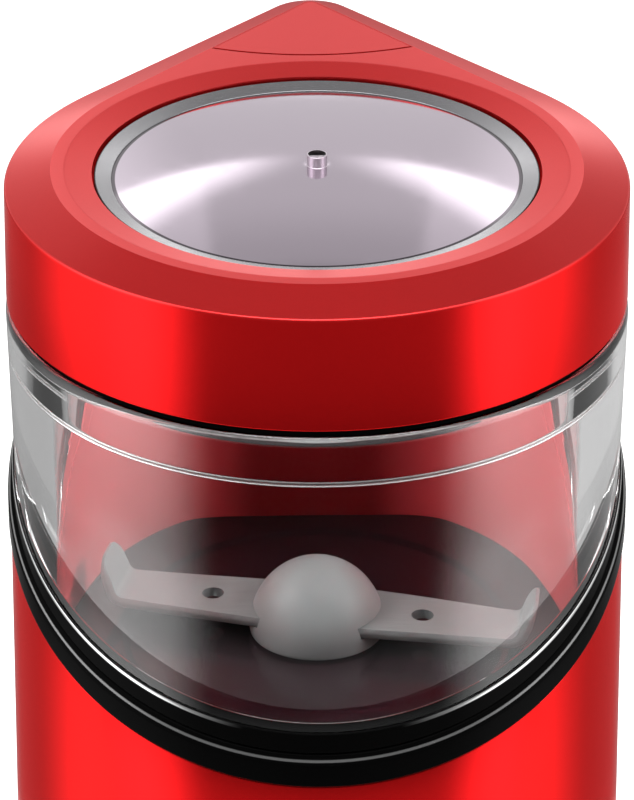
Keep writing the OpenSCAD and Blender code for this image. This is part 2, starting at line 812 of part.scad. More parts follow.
// one arm of the blade along +X with its upturned end
module blade_arm() {
    lean = 90 - tab_lean;
    w = blade_tip_w / 2;
    difference() {
        linear_extrude(blade_t) polygon([[0, -blade_root_w / 2], [hub_r - 2, -blade_root_w / 2],
            [blade_len, -w], [blade_len, w], [hub_r - 2, blade_root_w / 2], [0, blade_root_w / 2]]);
        translate([arm_hole_at, 0, -1]) cylinder(r = arm_hole_r, h = blade_t + 2);
    }
    translate([blade_len, w, blade_t / 2]) rotate([90, 0, 0]) cylinder(r = blade_t / 2, h = 2 * w);
    translate([blade_len, 0, blade_t / 2]) rotate([0, -lean, 0]) translate([0, 0, -blade_t / 2])
        difference() {
            linear_extrude(blade_t) polygon([[0, -w], [tab_h - 2, -w + 0.6], [tab_h - 0.6, -w + 1.3],
                [tab_h, -w + 2.4], [tab_h, w - 2.4], [tab_h - 0.6, w - 1.3], [tab_h - 2, w - 0.6], [0, w]]);
            translate([tab_h - 2, -w, blade_t]) rotate([0, 25, 0]) cube([6, 2 * w, 2]);
        }
}

// two-armed steel blade, holed in the middle for the hub's moulding
module blade() color(steel) {
    rotate([0, 0, blade_turn]) translate([0, 0, blade_z]) difference() {
        union() {
            blade_arm();
            rotate([0, 0, 180]) blade_arm();
        }
        translate([0, 0, -1]) cylinder(r = spindle_r + 1.4, h = blade_t + 2);
    }
}

// round hub moulded over the blade, flatted bore for the spindle
module blade_hub() color(grey) {
    rotate([0, 0, blade_turn]) difference() {
        union() {
            bar(0, 0, hub_lo, hub_mid, hub_r);
            intersection() {
                translate([0, 0, hub_mid]) sphere(r = hub_r);
                bar(0, 0, hub_mid, hub_top + 1, hub_r + 1);
            }
        }
        difference() {
            translate([-far, -blade_root_w / 2 - fit_gap, blade_z - fit_gap])
                cube([2 * far, blade_root_w + 2 * fit_gap, blade_t + 2 * fit_gap]);
            bar(0, 0, blade_z - 1, blade_z + blade_t + 1, spindle_r + 1.4 - fit_gap);
        }
        difference() {
            bar(0, 0, hub_lo - 1, spindle_hi + fit_gap, spindle_r + run_gap);
            translate([flat_x + run_gap, -10, hub_lo - 2]) cube([20, 20, 20]);
        }
    }
}

// black base: tray, spigot inside the housing, screw posts, motor socket and vents
module base_cover() color(black) {
    difference() {
        union() {
            drop_to(foot_h, foot_h + base_floor, base_in);
            difference() {
                drop_to(foot_h, shell_z, base_in);
                drop_to(foot_h, shell_z + 1, base_in + base_wall);
            }
            difference() {
                drop_to(foot_h + 1, shell_z + 4, spigot_in);
                drop_to(foot_h, shell_z + 5, spigot_in + spigot_wall);
            }
            intersection() {
                drop_to(foot_h, post_z, spigot_in);
                for (p = base_spots) bar(p[0], p[1], foot_h, post_z, boss_r + 0.6);
            }
            bar(0, 0, foot_h + 1, pad_z + 2, pad_r + 2);
        }
        bar(0, 0, pad_z, pad_z + 3, pad_r + fit_gap);
        for (p = base_spots) {
            bar(p[0], p[1], foot_h - 1, post_z + 1, screw_r + 0.2);
            bar(p[0], p[1], foot_h - 1, base_seat, head_r + 0.3);
        }
        difference() {
            bar(0, 0, foot_h - 1, foot_h + 1.6, foot_r - tongue_w + fit_gap);
            bar(0, 0, foot_h - 2, foot_h + 3, foot_r - 2 * tongue_w - fit_gap);
        }
        for (a = [0:45:315]) rotate([0, 0, a]) translate([13, -1.5, foot_h - 1]) cube([10, 3, base_floor + 2]);
        gland_place() translate([0, 0, -gland_wall - 2]) cylinder(r = gland_r + fit_gap, h = gland_wall + 4);
    }
}

// one-piece rubber foot with a tongue pressed into the base
module foot_ring() color(rubber) {
    rotate_extrude() polygon([[foot_r - foot_w + 0.5, 0], [foot_r - 0.5, 0], [foot_r, 0.6],
        [foot_r, foot_h], [foot_r - tongue_w, foot_h], [foot_r - tongue_w, foot_h + 1.5],
        [foot_r - 2 * tongue_w, foot_h + 1.5], [foot_r - 2 * tongue_w, foot_h],
        [foot_r - foot_w, foot_h], [foot_r - foot_w, 0.6]]);
}

// three screws of the base
module base_screws() color(steel) {
    for (p = base_spots) screw_up(p[0], p[1], base_seat, post_z + 13 - base_seat, screw_r);
}

// frame on the right flank, its Z along the wall's outward normal
module gland_place() {
    translate([gland_at[0], gland_at[1], gland_z]) rotate([0, 0, flank]) rotate([0, 90, 0]) children();
}

// rubber grommet of the cord inlet
module cord_gland() color(rubber) {
    gland_place() rotate_extrude()
        polygon([[gland_bore, -gland_wall - 1.6], [gland_r + 1, -gland_wall - 1.6],
            [gland_lip, -gland_wall], [gland_r, -gland_wall], [gland_r, 0], [gland_r + 1.8, 0],
            [gland_r + 1.8, 1], [gland_r + 1, 1.8], [gland_bore + 0.4, 1.8], [gland_bore, 1.4]]);
}

// sloping border of the lid: two cones and the flanks between them
module crown() {
    n0 = [cos(flank), sin(flank)];
    n1 = [cos(top_flank), sin(top_flank)];
    b0 = body_r - sink;
    t0 = tip_r - sink;
    b1 = b0 - crown_w;
    t1 = t0 - crown_tip_w;
    cylinder(r1 = body_r, r2 = top_r, h = crown_h);
    translate([0, tip_y, 0]) cylinder(r1 = tip_r, r2 = top_tip_r, h = crown_h);
    polyhedron(
        points = [[-b0 * n0[0], b0 * n0[1], 0], [-t0 * n0[0], tip_y + t0 * n0[1], 0],
            [t0 * n0[0], tip_y + t0 * n0[1], 0], [b0 * n0[0], b0 * n0[1], 0],
            [-b1 * n1[0], b1 * n1[1], crown_h], [-t1 * n1[0], tip_y + t1 * n1[1], crown_h],
            [t1 * n1[0], tip_y + t1 * n1[1], crown_h], [b1 * n1[0], b1 * n1[1], crown_h]],
        faces = [[4, 5, 6], [4, 6, 7], [3, 2, 1], [3, 1, 0], [5, 4, 0], [5, 0, 1],
            [6, 5, 1], [6, 1, 2], [7, 6, 2], [7, 2, 3], [4, 7, 3], [4, 3, 0]]);
}

// beak of the flat top, moved in by inset, behind the button's curved front edge
module beak(z0, z1, inset, r) {
    intersection() {
        translate([0, 0, z0])
            teardrop(z1 - z0, top_r - inset, top_tip_r - inset);
        bar(0, arc_y, z0 - 1, z1 + 1, r);
    }
}

// lid: side, sloping border, recess for the disc, button shaft and screw bosses
module lid_cap() color(red) {
    difference() {
        union() {
            difference() {
                union() {
                    drop_to(lid_z, lid_top);
                    translate([0, 0, lid_top]) crown();
                }
                drop_to(lid_z - 1, roof_z, lid_wall);
            }
            beak(button_lo + part_gap, roof_z + 0.5, hole_in - 2, arc_r + 2);
            for (p = lid_spots) bar(p[0], p[1], roof_top, roof_z + 0.5, lid_boss_r);
        }
        bar(0, 0, recess_z, top_z + 1, window_r);
        translate([0, 0, top_z - bevel_h]) cylinder(r1 = window_r, r2 = bevel_r, h = bevel_h);
        beak(button_lo - 1, top_z + 1, hole_in, arc_r);
        for (p = lid_spots) bar(p[0], p[1], roof_top - 1, roof_top + 10, screw_r + fit_gap);
    }
}

// grey ring that holds the disc down
module disc_bezel() color(grey) {
    top = top_z - 1.1;
    low = recess_z + disc_t;
    rotate_extrude() polygon([[disc_r, low], [disc_flange_r + fit_gap, low],
        [disc_flange_r + fit_gap, recess_z], [bezel_r, recess_z], [bezel_r, top - 0.3],
        [bezel_r - 0.3, top], [disc_r, top - 0.4]]);
}

// domed sheet-metal disc with a small cupped stud in its middle
module lid_disc() color(steel) {
    disc_in = disc_r - fit_gap;
    difference() {
        union() {
            intersection() {
                translate([0, 0, dome_top - dome_r]) sphere(r = dome_r, $fn = 360);
                bar(0, 0, recess_z, dome_top + 1, disc_in);
            }
            bar(0, 0, recess_z, recess_z + disc_t, disc_flange_r);
            bar(0, 0, dome_top - disc_t / 2, dome_top + stud_h, stud_r);
        }
        intersection() {
            translate([0, 0, dome_top - dome_r]) sphere(r = dome_r - disc_t, $fn = 360);
            bar(0, 0, recess_z - 1, dome_top, disc_in - disc_t);
        }
        translate([0, 0, dome_top + stud_h - cup_d + cup_ball]) sphere(r = cup_ball);
    }
}

// gasket between lid and clear cover
module lid_gasket() color(rubber) {
    difference() {
        drop_to(seat_z, lid_z, 0.5);
        drop_to(seat_z - 1, lid_z + 1, neck_in - 0.1);
    }
}

// clear cover: wall with a tongue below, wider band above, roof, neck and the stem's guide
module clear_cover() color(clear, 0.35) {
    difference() {
        union() {
            difference() {
                union() {
                    drop_to(rim_z - 40, seat_z, cover_in);
                    drop_to(lid_z - step_drop, seat_z, band_in);
                }
                under_rim(cover_edge);
                drop_to(rim_z - 41, cover_roof_z, cover_in + cover_wall);
            }
            slant_ring(cover_edge - tongue_h, cover_edge + 0.2, tongue_in, tongue_out, seat_z);
            drop_to(seat_z - sink, roof_top, neck_in + neck_wall - 0.1);
            difference() {
                drop_to(seat_z - sink, seat_z + neck_h, neck_in);
                drop_to(seat_z - 1, seat_z + neck_h + 1, neck_in + neck_wall);
            }
            bar(0, rod_y, cover_roof_z - 2.5, roof_top, stem_tube_r);
        }
        bar(0, rod_y, cover_roof_z - 4, roof_top + 1, stem_bore);
        for (p = lid_spots) bar(p[0], p[1], cover_roof_z - 1, roof_top + 1, screw_r + 0.2);
    }
}

// black trim grooved onto the clear cover's lower edge
module cover_rim() color(black) {
    difference() {
        slant_ring(cover_foot, cover_edge, -rim_proud + 0.1, cover_rim_w, seat_z);
        slant_ring(cover_edge - tongue_h - fit_gap, cover_edge + 1, tongue_in - fit_gap,
            tongue_out + fit_gap, seat_z + 1);
    }
}

// three screws that join clear cover and lid
module lid_screws() color(steel) {
    for (p = lid_spots) screw_up(p[0], p[1], cover_roof_z, cover_roof_t + 8, screw_r);
}

// press button that fills the beak of the lid, with its long stem
module press_button() color(red) {
    inset = button_in + button_wall;
    front = button_arc - button_wall;
    side = 11;
    back = tip_y - 3.5;
    difference() {
        union() {
            beak(button_lo - 0.5, top_z, button_in, button_arc);
            beak(button_lo - button_lip, button_lo, hole_in - 1.3, arc_r + 1.3);
        }
        translate([0, 0, button_lo - button_lip - 1]) linear_extrude(button_roof - button_lo + button_lip + 1)
            polygon([[-side, arc_y - sqrt(front * front - side * side)], [-4, arc_y - front + 0.4],
                [4, arc_y - front + 0.4], [side, arc_y - sqrt(front * front - side * side)],
                [top_flank_x(back, inset), back], [-top_flank_x(back, inset), back]]);
        bar(0, rod_y, button_lo - button_lip - 1, button_roof, pocket_r);
    }
    bar(0, rod_y, stem_lo, button_roof + 0.5, stem_r);
}

// return spring of the button
module button_spring() color(steel) {
    translate([0, rod_y, roof_top]) coil(coil_r, 0.4, button_roof - roof_top, 7);
}

housing_shell();
housing_rim();
grind_chamber();
bowl_floor();
shaft_seal();
rod_seal();
push_rod();
rod_spring();
switch_bracket();
switch_screws();
micro_switch();
switch_plunger();
motor_mount();
motor_dampers();
motor_screws();
upper_bearing();
field_core();
field_coils();
end_bracket();
lower_bearing();
through_bolts();
brush_holders();
carbon_brushes();
brush_springs();
motor_foot();
motor_shaft();
armature_core();
armature_winding();
commutator();
cooling_fan();
blade();
blade_hub();
base_cover();
foot_ring();
base_screws();
cord_gland();
lid_cap();
disc_bezel();
lid_disc();
lid_gasket();
clear_cover();
cover_rim();
lid_screws();
press_button();
button_spring();
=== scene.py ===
import math

import bmesh
import bpy
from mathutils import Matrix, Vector


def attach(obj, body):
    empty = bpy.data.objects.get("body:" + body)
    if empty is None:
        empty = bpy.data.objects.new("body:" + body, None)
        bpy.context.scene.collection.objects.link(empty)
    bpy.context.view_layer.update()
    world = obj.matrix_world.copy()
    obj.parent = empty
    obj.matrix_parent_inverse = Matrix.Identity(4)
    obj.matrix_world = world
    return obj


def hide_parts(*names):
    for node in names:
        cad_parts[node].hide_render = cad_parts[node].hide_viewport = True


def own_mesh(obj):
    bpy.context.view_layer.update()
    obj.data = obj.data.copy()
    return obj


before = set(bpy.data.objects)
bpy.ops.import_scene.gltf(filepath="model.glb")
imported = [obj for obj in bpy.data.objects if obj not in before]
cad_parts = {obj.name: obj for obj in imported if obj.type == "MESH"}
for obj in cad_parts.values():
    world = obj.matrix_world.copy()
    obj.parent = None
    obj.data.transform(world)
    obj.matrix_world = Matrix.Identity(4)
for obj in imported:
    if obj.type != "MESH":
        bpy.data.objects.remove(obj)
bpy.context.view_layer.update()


# Foot ring: one moulded rubber ring the machine stands on.
# Soft black rubber with a matt, slightly chalky skin.
# Its tongue is pressed into a groove under the base.
MM = 0.001
CREASE = 32


class Flow:
    """A shader socket that can be reckoned with; node() makes every node."""

    def __init__(self, tree, socket=None):
        self.tree = tree
        self.socket = socket

    def node(self, kind, settings=None, out=0, **sockets):
        """New node: settings first, then values or links; i0, i1 and so on count its sockets."""
        made = self.tree.nodes.new("ShaderNode" + kind)
        for name, value in (settings or {}).items():
            setattr(made, name, value)
        for name, value in sockets.items():
            counted = name[0] == "i" and name[1:].isdigit()
            entry = made.inputs[int(name[1:]) if counted else name.replace("_", " ")]
            if isinstance(value, Flow):
                self.tree.links.new(value.socket, entry)
            else:
                entry.default_value = value
        return Flow(self.tree, made.outputs[out])

    def maths(self, operation, a, b=0.0):
        return self.node("Math", {"operation": operation}, i0=a, i1=b)

    def __add__(self, other):
        return self.maths("ADD", self, other)

    def __radd__(self, other):
        return self.maths("ADD", other, self)

    def __sub__(self, other):
        return self.maths("SUBTRACT", self, other)

    def __rsub__(self, other):
        return self.maths("SUBTRACT", other, self)

    def __mul__(self, other):
        return self.maths("MULTIPLY", self, other)

    def __rmul__(self, other):
        return self.maths("MULTIPLY", other, self)

    def between(self, low, high):
        """0 below low, 1 above high, smooth between."""
        return self.node("MapRange", {"interpolation_type": "SMOOTHSTEP"}, Value=self,
                         From_Min=low, From_Max=high)

    def tint(self, dark, light):
        """Colour from dark at 0 to light at 1; either may be a flow of its own."""
        ends = [colour if isinstance(colour, Flow) else (*colour, 1.0) for colour in (dark, light)]
        return self.node("Mix", {"data_type": "RGBA"}, out=2, Factor=self, i6=ends[0], i7=ends[1])


def new_finish(name, colour, rough, **constant):
    """Finish with a plain Principled shader; returns it, its shader and a flow to build on."""
    material = bpy.data.materials.new(name)
    material.use_nodes = True
    tree = material.node_tree
    shader = tree.nodes["Principled BSDF"]
    shader.inputs["Base Color"].default_value = (*colour, 1.0)
    shader.inputs["Roughness"].default_value = rough
    for key, value in constant.items():
        shader.inputs[key.replace("_", " ")].default_value = value
    material.diffuse_color = (*colour, 1.0)
    return material, shader, Flow(tree)


def feed(flow, shader, **links):
    """Joins flows to the shader's own sockets."""
    for key, value in links.items():
        flow.tree.links.new(value.socket, shader.inputs[key.replace("_", " ")])


def grain(flow, scale, detail=3.0, stretch=(1, 1, 1), rough=0.5):
    """Noise over the piece, scale in cells per metre, stretched along its axes."""
    place = flow.node("Mapping", Vector=flow.node("TexCoord", out="Object"), Scale=stretch)
    return flow.node("TexNoise", Vector=place, Scale=scale, Detail=detail, Roughness=rough)


def bumped(flow, shader, height, strength, distance):
    """Surface relief from a height flow, distance in metres."""
    feed(flow, shader, Normal=flow.node("Bump", Strength=strength, Distance=distance, Height=height))


def soft_corners(corners, steps=4):
    """Profile whose corners (across, up, radius) are rounded off."""
    points = []
    for i, (across, up, radius) in enumerate(corners):
        here = Vector((across, up))
        if radius <= 0:
            points.append((across, up))
            continue
        before = Vector(corners[i - 1][:2]) - here
        after = Vector(corners[(i + 1) % len(corners)][:2]) - here
        half = before.angle(after) / 2
        reach = min(radius / math.tan(half), 0.48 * before.length, 0.48 * after.length)
        bend = reach * math.tan(half)
        centre = here + (before.normalized() + after.normalized()).normalized() * (bend / math.sin(half))
        start = here + before.normalized() * reach - centre
        end = here + after.normalized() * reach - centre
        turn = start.angle_signed(end)
        for k in range(steps + 1):
            angle = math.atan2(start.y, start.x) - turn * k / steps
            points.append((centre.x + bend * math.cos(angle), centre.y + bend * math.sin(angle)))
    return points


def loft(rings, round_profile=True, cap_first=False, cap_last=False):
    """Points and faces of a skin over rings of equal length."""
    count = len(rings[0])
    points = [p for ring in rings for p in ring]
    faces = []
    for i in range(len(rings) if round_profile else len(rings) - 1):
        a, b = i * count, (i + 1) % len(rings) * count
        faces += [(a + k, a + (k + 1) % count, b + (k + 1) % count, b + k) for k in range(count)]
    if cap_first:
        faces.append(tuple(range(count))[::-1])
    if cap_last:
        faces.append(tuple(range((len(rings) - 1) * count, len(rings) * count)))
    return points, faces


def circle(r, z, steps=200, middle=(0, 0)):
    angles = [2 * math.pi * k / steps for k in range(steps)]
    return [(middle[0] + r * math.cos(a), middle[1] + r * math.sin(a), z) for a in angles]


def turned(profile, steps=160, middle=(0, 0)):
    """Round piece from a closed profile of (radius, height)."""
    return loft([circle(r, z, steps, middle) for r, z in profile])


def skin_mesh(name, shells):
    """Clean mesh in metres from one or more skins in millimetres."""
    points, faces = [], []
    for skin_points, skin_faces in shells:
        faces += [tuple(len(points) + k for k in face) for face in skin_faces]
        points += [(x * MM, y * MM, z * MM) for x, y, z in skin_points]
    mesh = bpy.data.meshes.new(name)
    mesh.from_pydata(points, [], faces)
    form = bmesh.new()
    form.from_mesh(mesh)
    bmesh.ops.remove_doubles(form, verts=form.verts, dist=1e-7)
    bmesh.ops.dissolve_degenerate(form, dist=1e-7, edges=form.edges)
    bmesh.ops.recalc_face_normals(form, faces=form.faces)
    form.to_mesh(mesh)
    form.free()
    return mesh


def piece(name, shells, body, nodes, finish, crease=CREASE):
    """Visible piece of one or more skins, riding on its body in place of its nodes."""
    mesh = skin_mesh(name, shells)
    mesh.shade_smooth()
    mesh.set_sharp_from_angle(angle=math.radians(crease))
    made = bpy.data.objects.new(name, mesh)
    bpy.context.scene.collection.objects.link(made)
    made.modifiers.new("even_normals", "WEIGHTED_NORMAL").keep_sharp = True
    mesh.materials.append(finish)
    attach(made, body)
    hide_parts(*nodes)
    return made


rubber, shader, flow = new_finish("black_rubber", (0.01, 0.01, 0.01), 0.62, Specular_IOR_Level=0.1)
chalk = grain(flow, 900, 4)
feed(flow, shader, Roughness=0.52 + 0.2 * chalk,
     Base_Color=chalk.between(0.35, 0.75).tint((0.006, 0.006, 0.006), (0.016, 0.016, 0.016)))
bumped(flow, shader, grain(flow, 2600, 2), 0.25, 0.0002)

foot_out, foot_in, foot_top = 33.0, 27.0, 2.5
tongue_out, tongue_in, tongue_top = 31.0, 29.0, 4.0
foot = turned(soft_corners([
    (foot_in, 0, 0.7), (foot_out, 0, 0.7), (foot_out, foot_top, 0.1), (tongue_out, foot_top, 0),
    (tongue_out, tongue_top, 0.2), (tongue_in, tongue_top, 0.2), (tongue_in, foot_top, 0),
    (foot_in, foot_top, 0.1)]))
piece("rubber_foot", [foot], "base", ["foot_ring"], rubber)


# Base: shallow tray that closes the housing from below.
# Black plastic with a fine spark-eroded texture; its spigot sits inside the housing.
# Three screws hold it; slots round the middle let the motor breathe.
textured_black, shader, flow = new_finish("textured_black", (0.016, 0.016, 0.017), 0.5)
pits = grain(flow, 1800, 3)
feed(flow, shader, Roughness=0.42 + 0.2 * pits,
     Base_Color=grain(flow, 60, 2).between(0.3, 0.8).tint((0.012, 0.012, 0.013), (0.022, 0.022, 0.023)))
bumped(flow, shader, pits, 0.3, 0.0003)


def dress(finish, *nodes):
    """Gives solids that keep their own shape a finish."""
    for name in nodes:
        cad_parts[name].data.materials.clear()
        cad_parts[name].data.materials.append(finish)


dress(textured_black, "base_cover")


# Screws, springs, bearings, motor and switch: hung and screwed together inside the housing.
# Zinc-plated steel, enamelled copper wire, stacked sheet, sintered bronze, die-cast alloy.
# The solids have their shape already; each gets the finish of its own metal or plastic.
def spot_on(flow):
    """Place on the piece in millimetres: to the right, to the back and up."""
    place = flow.node("TexCoord", out="Object")
    return [1000 * flow.node("SeparateXYZ", out=k, Vector=place) for k in range(3)]


zinc, shader, flow = new_finish("zinc_steel", (0.56, 0.57, 0.58), 0.3, Metallic=1.0)
cloud = grain(flow, 700, 4)
feed(flow, shader, Roughness=0.22 + 0.22 * cloud,
     Base_Color=cloud.between(0.3, 0.8).tint((0.46, 0.47, 0.49), (0.66, 0.66, 0.65)))
dress(zinc, "base_screws", "lid_screws", "motor_screws", "switch_screws", "through_bolts")

wire_steel, shader, flow = new_finish("drawn_wire", (0.5, 0.51, 0.53), 0.28, Metallic=1.0)
feed(flow, shader, Roughness=0.2 + 0.25 * grain(flow, 1500, 2))
dress(wire_steel, "brush_springs")

ground_steel, shader, flow = new_finish("ground_steel", (0.55, 0.56, 0.58), 0.22, Metallic=1.0)
feed(flow, shader, Roughness=0.14 + 0.25 * grain(flow, 400, 3, (1, 1, 30)))
dress(ground_steel, "motor_shaft")

cast_alloy, shader, flow = new_finish("cast_alloy", (0.52, 0.53, 0.55), 0.5, Metallic=1.0)
cast_skin = grain(flow, 500, 4)
feed(flow, shader, Roughness=0.4 + 0.25 * cast_skin)
bumped(flow, shader, cast_skin, 0.3, 0.0004)
dress(cast_alloy, "motor_mount")

bronze, shader, flow = new_finish("sintered_bronze", (0.5, 0.32, 0.16), 0.45, Metallic=1.0)
feed(flow, shader, Roughness=0.35 + 0.3 * grain(flow, 2500, 2))
dress(bronze, "upper_bearing", "lower_bearing")

stacked, shader, flow = new_finish("stacked_sheet", (0.2, 0.2, 0.21), 0.4, Metallic=0.8)
half_sheet = 0.25
sheets = flow.maths("PINGPONG", spot_on(flow)[2], half_sheet) * (1 / half_sheet)
feed(flow, shader, Base_Color=sheets.between(0.1, 0.5).tint((0.05, 0.05, 0.055), (0.24, 0.24, 0.25)))
bumped(flow, shader, sheets, 0.5, 0.0001)
dress(stacked, "field_core", "armature_core")

enamelled, shader, flow = new_finish("enamelled_copper", (0.42, 0.16, 0.05), 0.28, Metallic=0.85)
half_strand = 0.4
strands = flow.maths("PINGPONG", spot_on(flow)[2], half_strand) * (1 / half_strand)
feed(flow, shader, Base_Color=strands.tint((0.2, 0.06, 0.02), (0.5, 0.2, 0.07)))
bumped(flow, shader, strands, 0.6, 0.0002)
dress(enamelled, "field_coils", "armature_winding")

bare_copper, shader, flow = new_finish("turned_copper", (0.55, 0.26, 0.13), 0.25, Metallic=1.0)
feed(flow, shader, Roughness=0.18 + 0.2 * grain(flow, 300, 3, (1, 1, 25)))
dress(bare_copper, "commutator")

brass, shader, flow = new_finish("bright_brass", (0.62, 0.44, 0.16), 0.25, Metallic=1.0)
feed(flow, shader, Roughness=0.2 + 0.2 * grain(flow, 600, 3))
dress(brass, "brush_holders")

graphite, shader, flow = new_finish("graphite", (0.03, 0.03, 0.032), 0.45)
feed(flow, shader, Roughness=0.35 + 0.3 * grain(flow, 1200, 3))
dress(graphite, "carbon_brushes")

natural, shader, flow = new_finish("natural_plastic", (0.7, 0.68, 0.63), 0.42)
feed(flow, shader, Roughness=0.34 + 0.16 * grain(flow, 300, 2),
     Base_Color=grain(flow, 40, 2).tint((0.66, 0.63, 0.57), (0.76, 0.74, 0.69)))
dress(natural, "push_rod", "switch_plunger")
dress(rubber, "shaft_seal", "rod_seal", "motor_dampers", "motor_foot", "cord_gland")
dress(textured_black, "switch_bracket", "micro_switch", "end_bracket", "cooling_fan")


# Housing: tall teardrop moulding, cut on the slant at its top.
# Plastic with a satin metallic red lacquer; the lid's top has a softer clear coat over it.
# It stands on the base over the spigot, and three screws hold it from below.
BODY_R, TIP_R, TIP_Y = 45.0, 7.0, 56.8
RIM_Z, RIM_SLOPE = 130.1, math.tan(math.radians(25.8))
LID_TOP = 182.7
shell_wall, shell_foot = 2.4, 17.5


def arc(r, start, sweep, steps, y=0.0):
    """Points on an arc round (0, y), without its end."""
    angles = [start + sweep * k / steps for k in range(steps)]
    return [(r * math.cos(a), y + r * math.sin(a)) for a in angles]


def run(start, end, steps):
    """Points on a straight line, without its end."""
    return [tuple(a + (b - a) * k / steps for a, b in zip(start, end)) for k in range(steps)]


def teardrop(big, small, main=150, side=22, tip=26):
    """Round part and beak seen from above, clockwise from the right flank."""
    flank = math.asin((big - small) / TIP_Y)
    nx, ny = math.cos(flank), math.sin(flank)
    return (arc(big, flank, -math.pi - 2 * flank, main)
            + run((-big * nx, big * ny), (-small * nx, small * ny + TIP_Y), side)
            + arc(small, math.pi - flank, 2 * flank - math.pi, tip, TIP_Y)
            + run((small * nx, small * ny + TIP_Y), (big * nx, big * ny), side))


def outline(inset=0.0):
    """The body's teardrop, moved in by inset."""
    return teardrop(BODY_R - inset, max(TIP_R - inset, 0.02))


def level(inset, z):
    return [(x, y, z) for x, y in outline(inset)]


def slanted(inset, rise, highest=1000.0):
    """Ring of the outline on the slanted edge, moved up by rise and cut off level."""
    return [(x, y, min(RIM_Z + rise + y * RIM_SLOPE, highest)) for x, y in outline(inset)]


red, shader, flow = new_finish("red_lacquer", (0.56, 0.004, 0.005), 0.22, Metallic=0.88,
                               Specular_IOR_Level=0.1, Specular_Tint=(1.0, 0.04, 0.04, 1.0),
                               Coat_Roughness=0.25)
flakes = 0.7 * grain(flow, 9000, 1) + 0.3 * grain(flow, 25, 2)
lid_top = spot_on(flow)[2].between(LID_TOP - 0.35, LID_TOP + 0.1)
feed(flow, shader, Roughness=0.2 + 0.03 * grain(flow, 5000, 2) + 0.12 * lid_top,
     Base_Color=flakes.between(0.25, 0.75).tint((0.53, 0.003, 0.004), (0.59, 0.005, 0.006)),
     Coat_Weight=0.1 + 0.6 * lid_top)
bumped(flow, shader, grain(flow, 260, 2), 0.03, 0.0003)

shell = [level(shell_wall, shell_foot + 0.2), level(shell_wall - 0.2, shell_foot),
         level(0.5, shell_foot), level(0.15, shell_foot + 0.15), level(0, shell_foot + 0.5),
         slanted(0, -8), slanted(0, -0.4), slanted(0.3, 0), slanted(shell_wall - 0.3, 0),
         slanted(shell_wall, -0.3)]
piece("red_housing", [loft(shell)], "base", ["housing_shell"], red)


# Bowl: red moulding dropped into the housing, its deck on a ledge; flat at the back.
# A plainer red, with painted shade that darkens the flat back and the near rim; a collar guides the push rod.
# Three feet below carry the motor, two at the back the switch.
FLOOR_Z, BOWL_R, BOWL_FLAT, DRAFT = 109.5, 38.3, 33.1, math.tan(math.radians(2))
ROD_Y = 46.0
bowl_low, bowl_foot, bowl_wall, deck_t, deck_in = 108.0, 105.5, 1.6, 2.4, 2.5
collar_out, collar_in, collar_low, collar_top, seal_in, seal_z = 6.5, 3.4, 146.8, 157.54, 5.0, 155.54
feet_ring, feet_r, feet_low, feet_top = 26.0, 3.6, 102.5, 106.0
boss_x, boss_z, boss_r, boss_front, boss_back = 10.0, 124.0, 3.0, 34.2, 40.8

bowl_red, shader, flow = new_finish("bowl_red", (0.5, 0.005, 0.008), 0.3, Metallic=0.35,
                                    Specular_IOR_Level=0.15, Specular_Tint=(1.0, 0.06, 0.06, 1.0),
                                    Coat_Weight=0.05, Coat_Roughness=0.15)
haze = grain(flow, 120, 3)
right, behind, up = spot_on(flow)
# Painted shade: the flat back and the near rim are darkened to stand in for the shade there; the haze adds
# random tone.
painted_shade_flat_back = (1 - flow.maths("ABSOLUTE", right).between(8, 21)) * behind.between(25, 31)
painted_shade_near_rim = 1 - behind.between(-36, -22)
painted_shade_and_haze = flow.maths("MAXIMUM", painted_shade_flat_back, painted_shade_near_rim) - 0.12 * haze
feed(flow, shader, Roughness=0.26 + 0.1 * haze,
     Base_Color=painted_shade_and_haze.tint((0.6, 0.06, 0.07), (0.15, 0.002, 0.004)))
bumped(flow, shader, grain(flow, 300, 2), 0.04, 0.0003)


def flat_backed(radius, flat, a):
    """Reach in direction a of a round with a flat back; the corner between them is eased."""
    to_flat = flat / math.sin(a) if math.sin(a) > 0.2 else 1000.0
    near_corner = max(0.0, 1 - abs(radius - to_flat) / 2.2)
    return min(radius, to_flat) - 0.55 * near_corner ** 2


directions = [math.atan2(y, x) for x, y in outline(deck_in)]


def bowl_ring(z=None, grow=0.0, rise=0.0):
    """Ring of the bowl at height z, or on the slant where no height is given."""
    ring = []
    for a in directions:
        height = RIM_Z if z is None else z
        for _ in range(6 if z is None else 1):
            reach = flat_backed(BOWL_R + grow + (height - FLOOR_Z) * DRAFT, BOWL_FLAT + grow, a)
            if z is None:
                height = RIM_Z + rise + reach * math.sin(a) * RIM_SLOPE
        ring.append((reach * math.cos(a), reach * math.sin(a), height))
    return ring


def between_rings(low, high, share):
    return [tuple(a + (b - a) * share for a, b in zip(p, q)) for p, q in zip(low, high)]


def bar(start, end, r, steps=40):
    """Round bar between two points."""
    start, end = Vector(start), Vector(end)
    along = (end - start).normalized()
    across = along.orthogonal().normalized()
    up = along.cross(across)
    angles = [2 * math.pi * k / steps for k in range(steps)]
    return loft([[tuple(p + r * (math.cos(a) * across + math.sin(a) * up)) for a in angles]
                 for p in (start, end)], False, True, True)


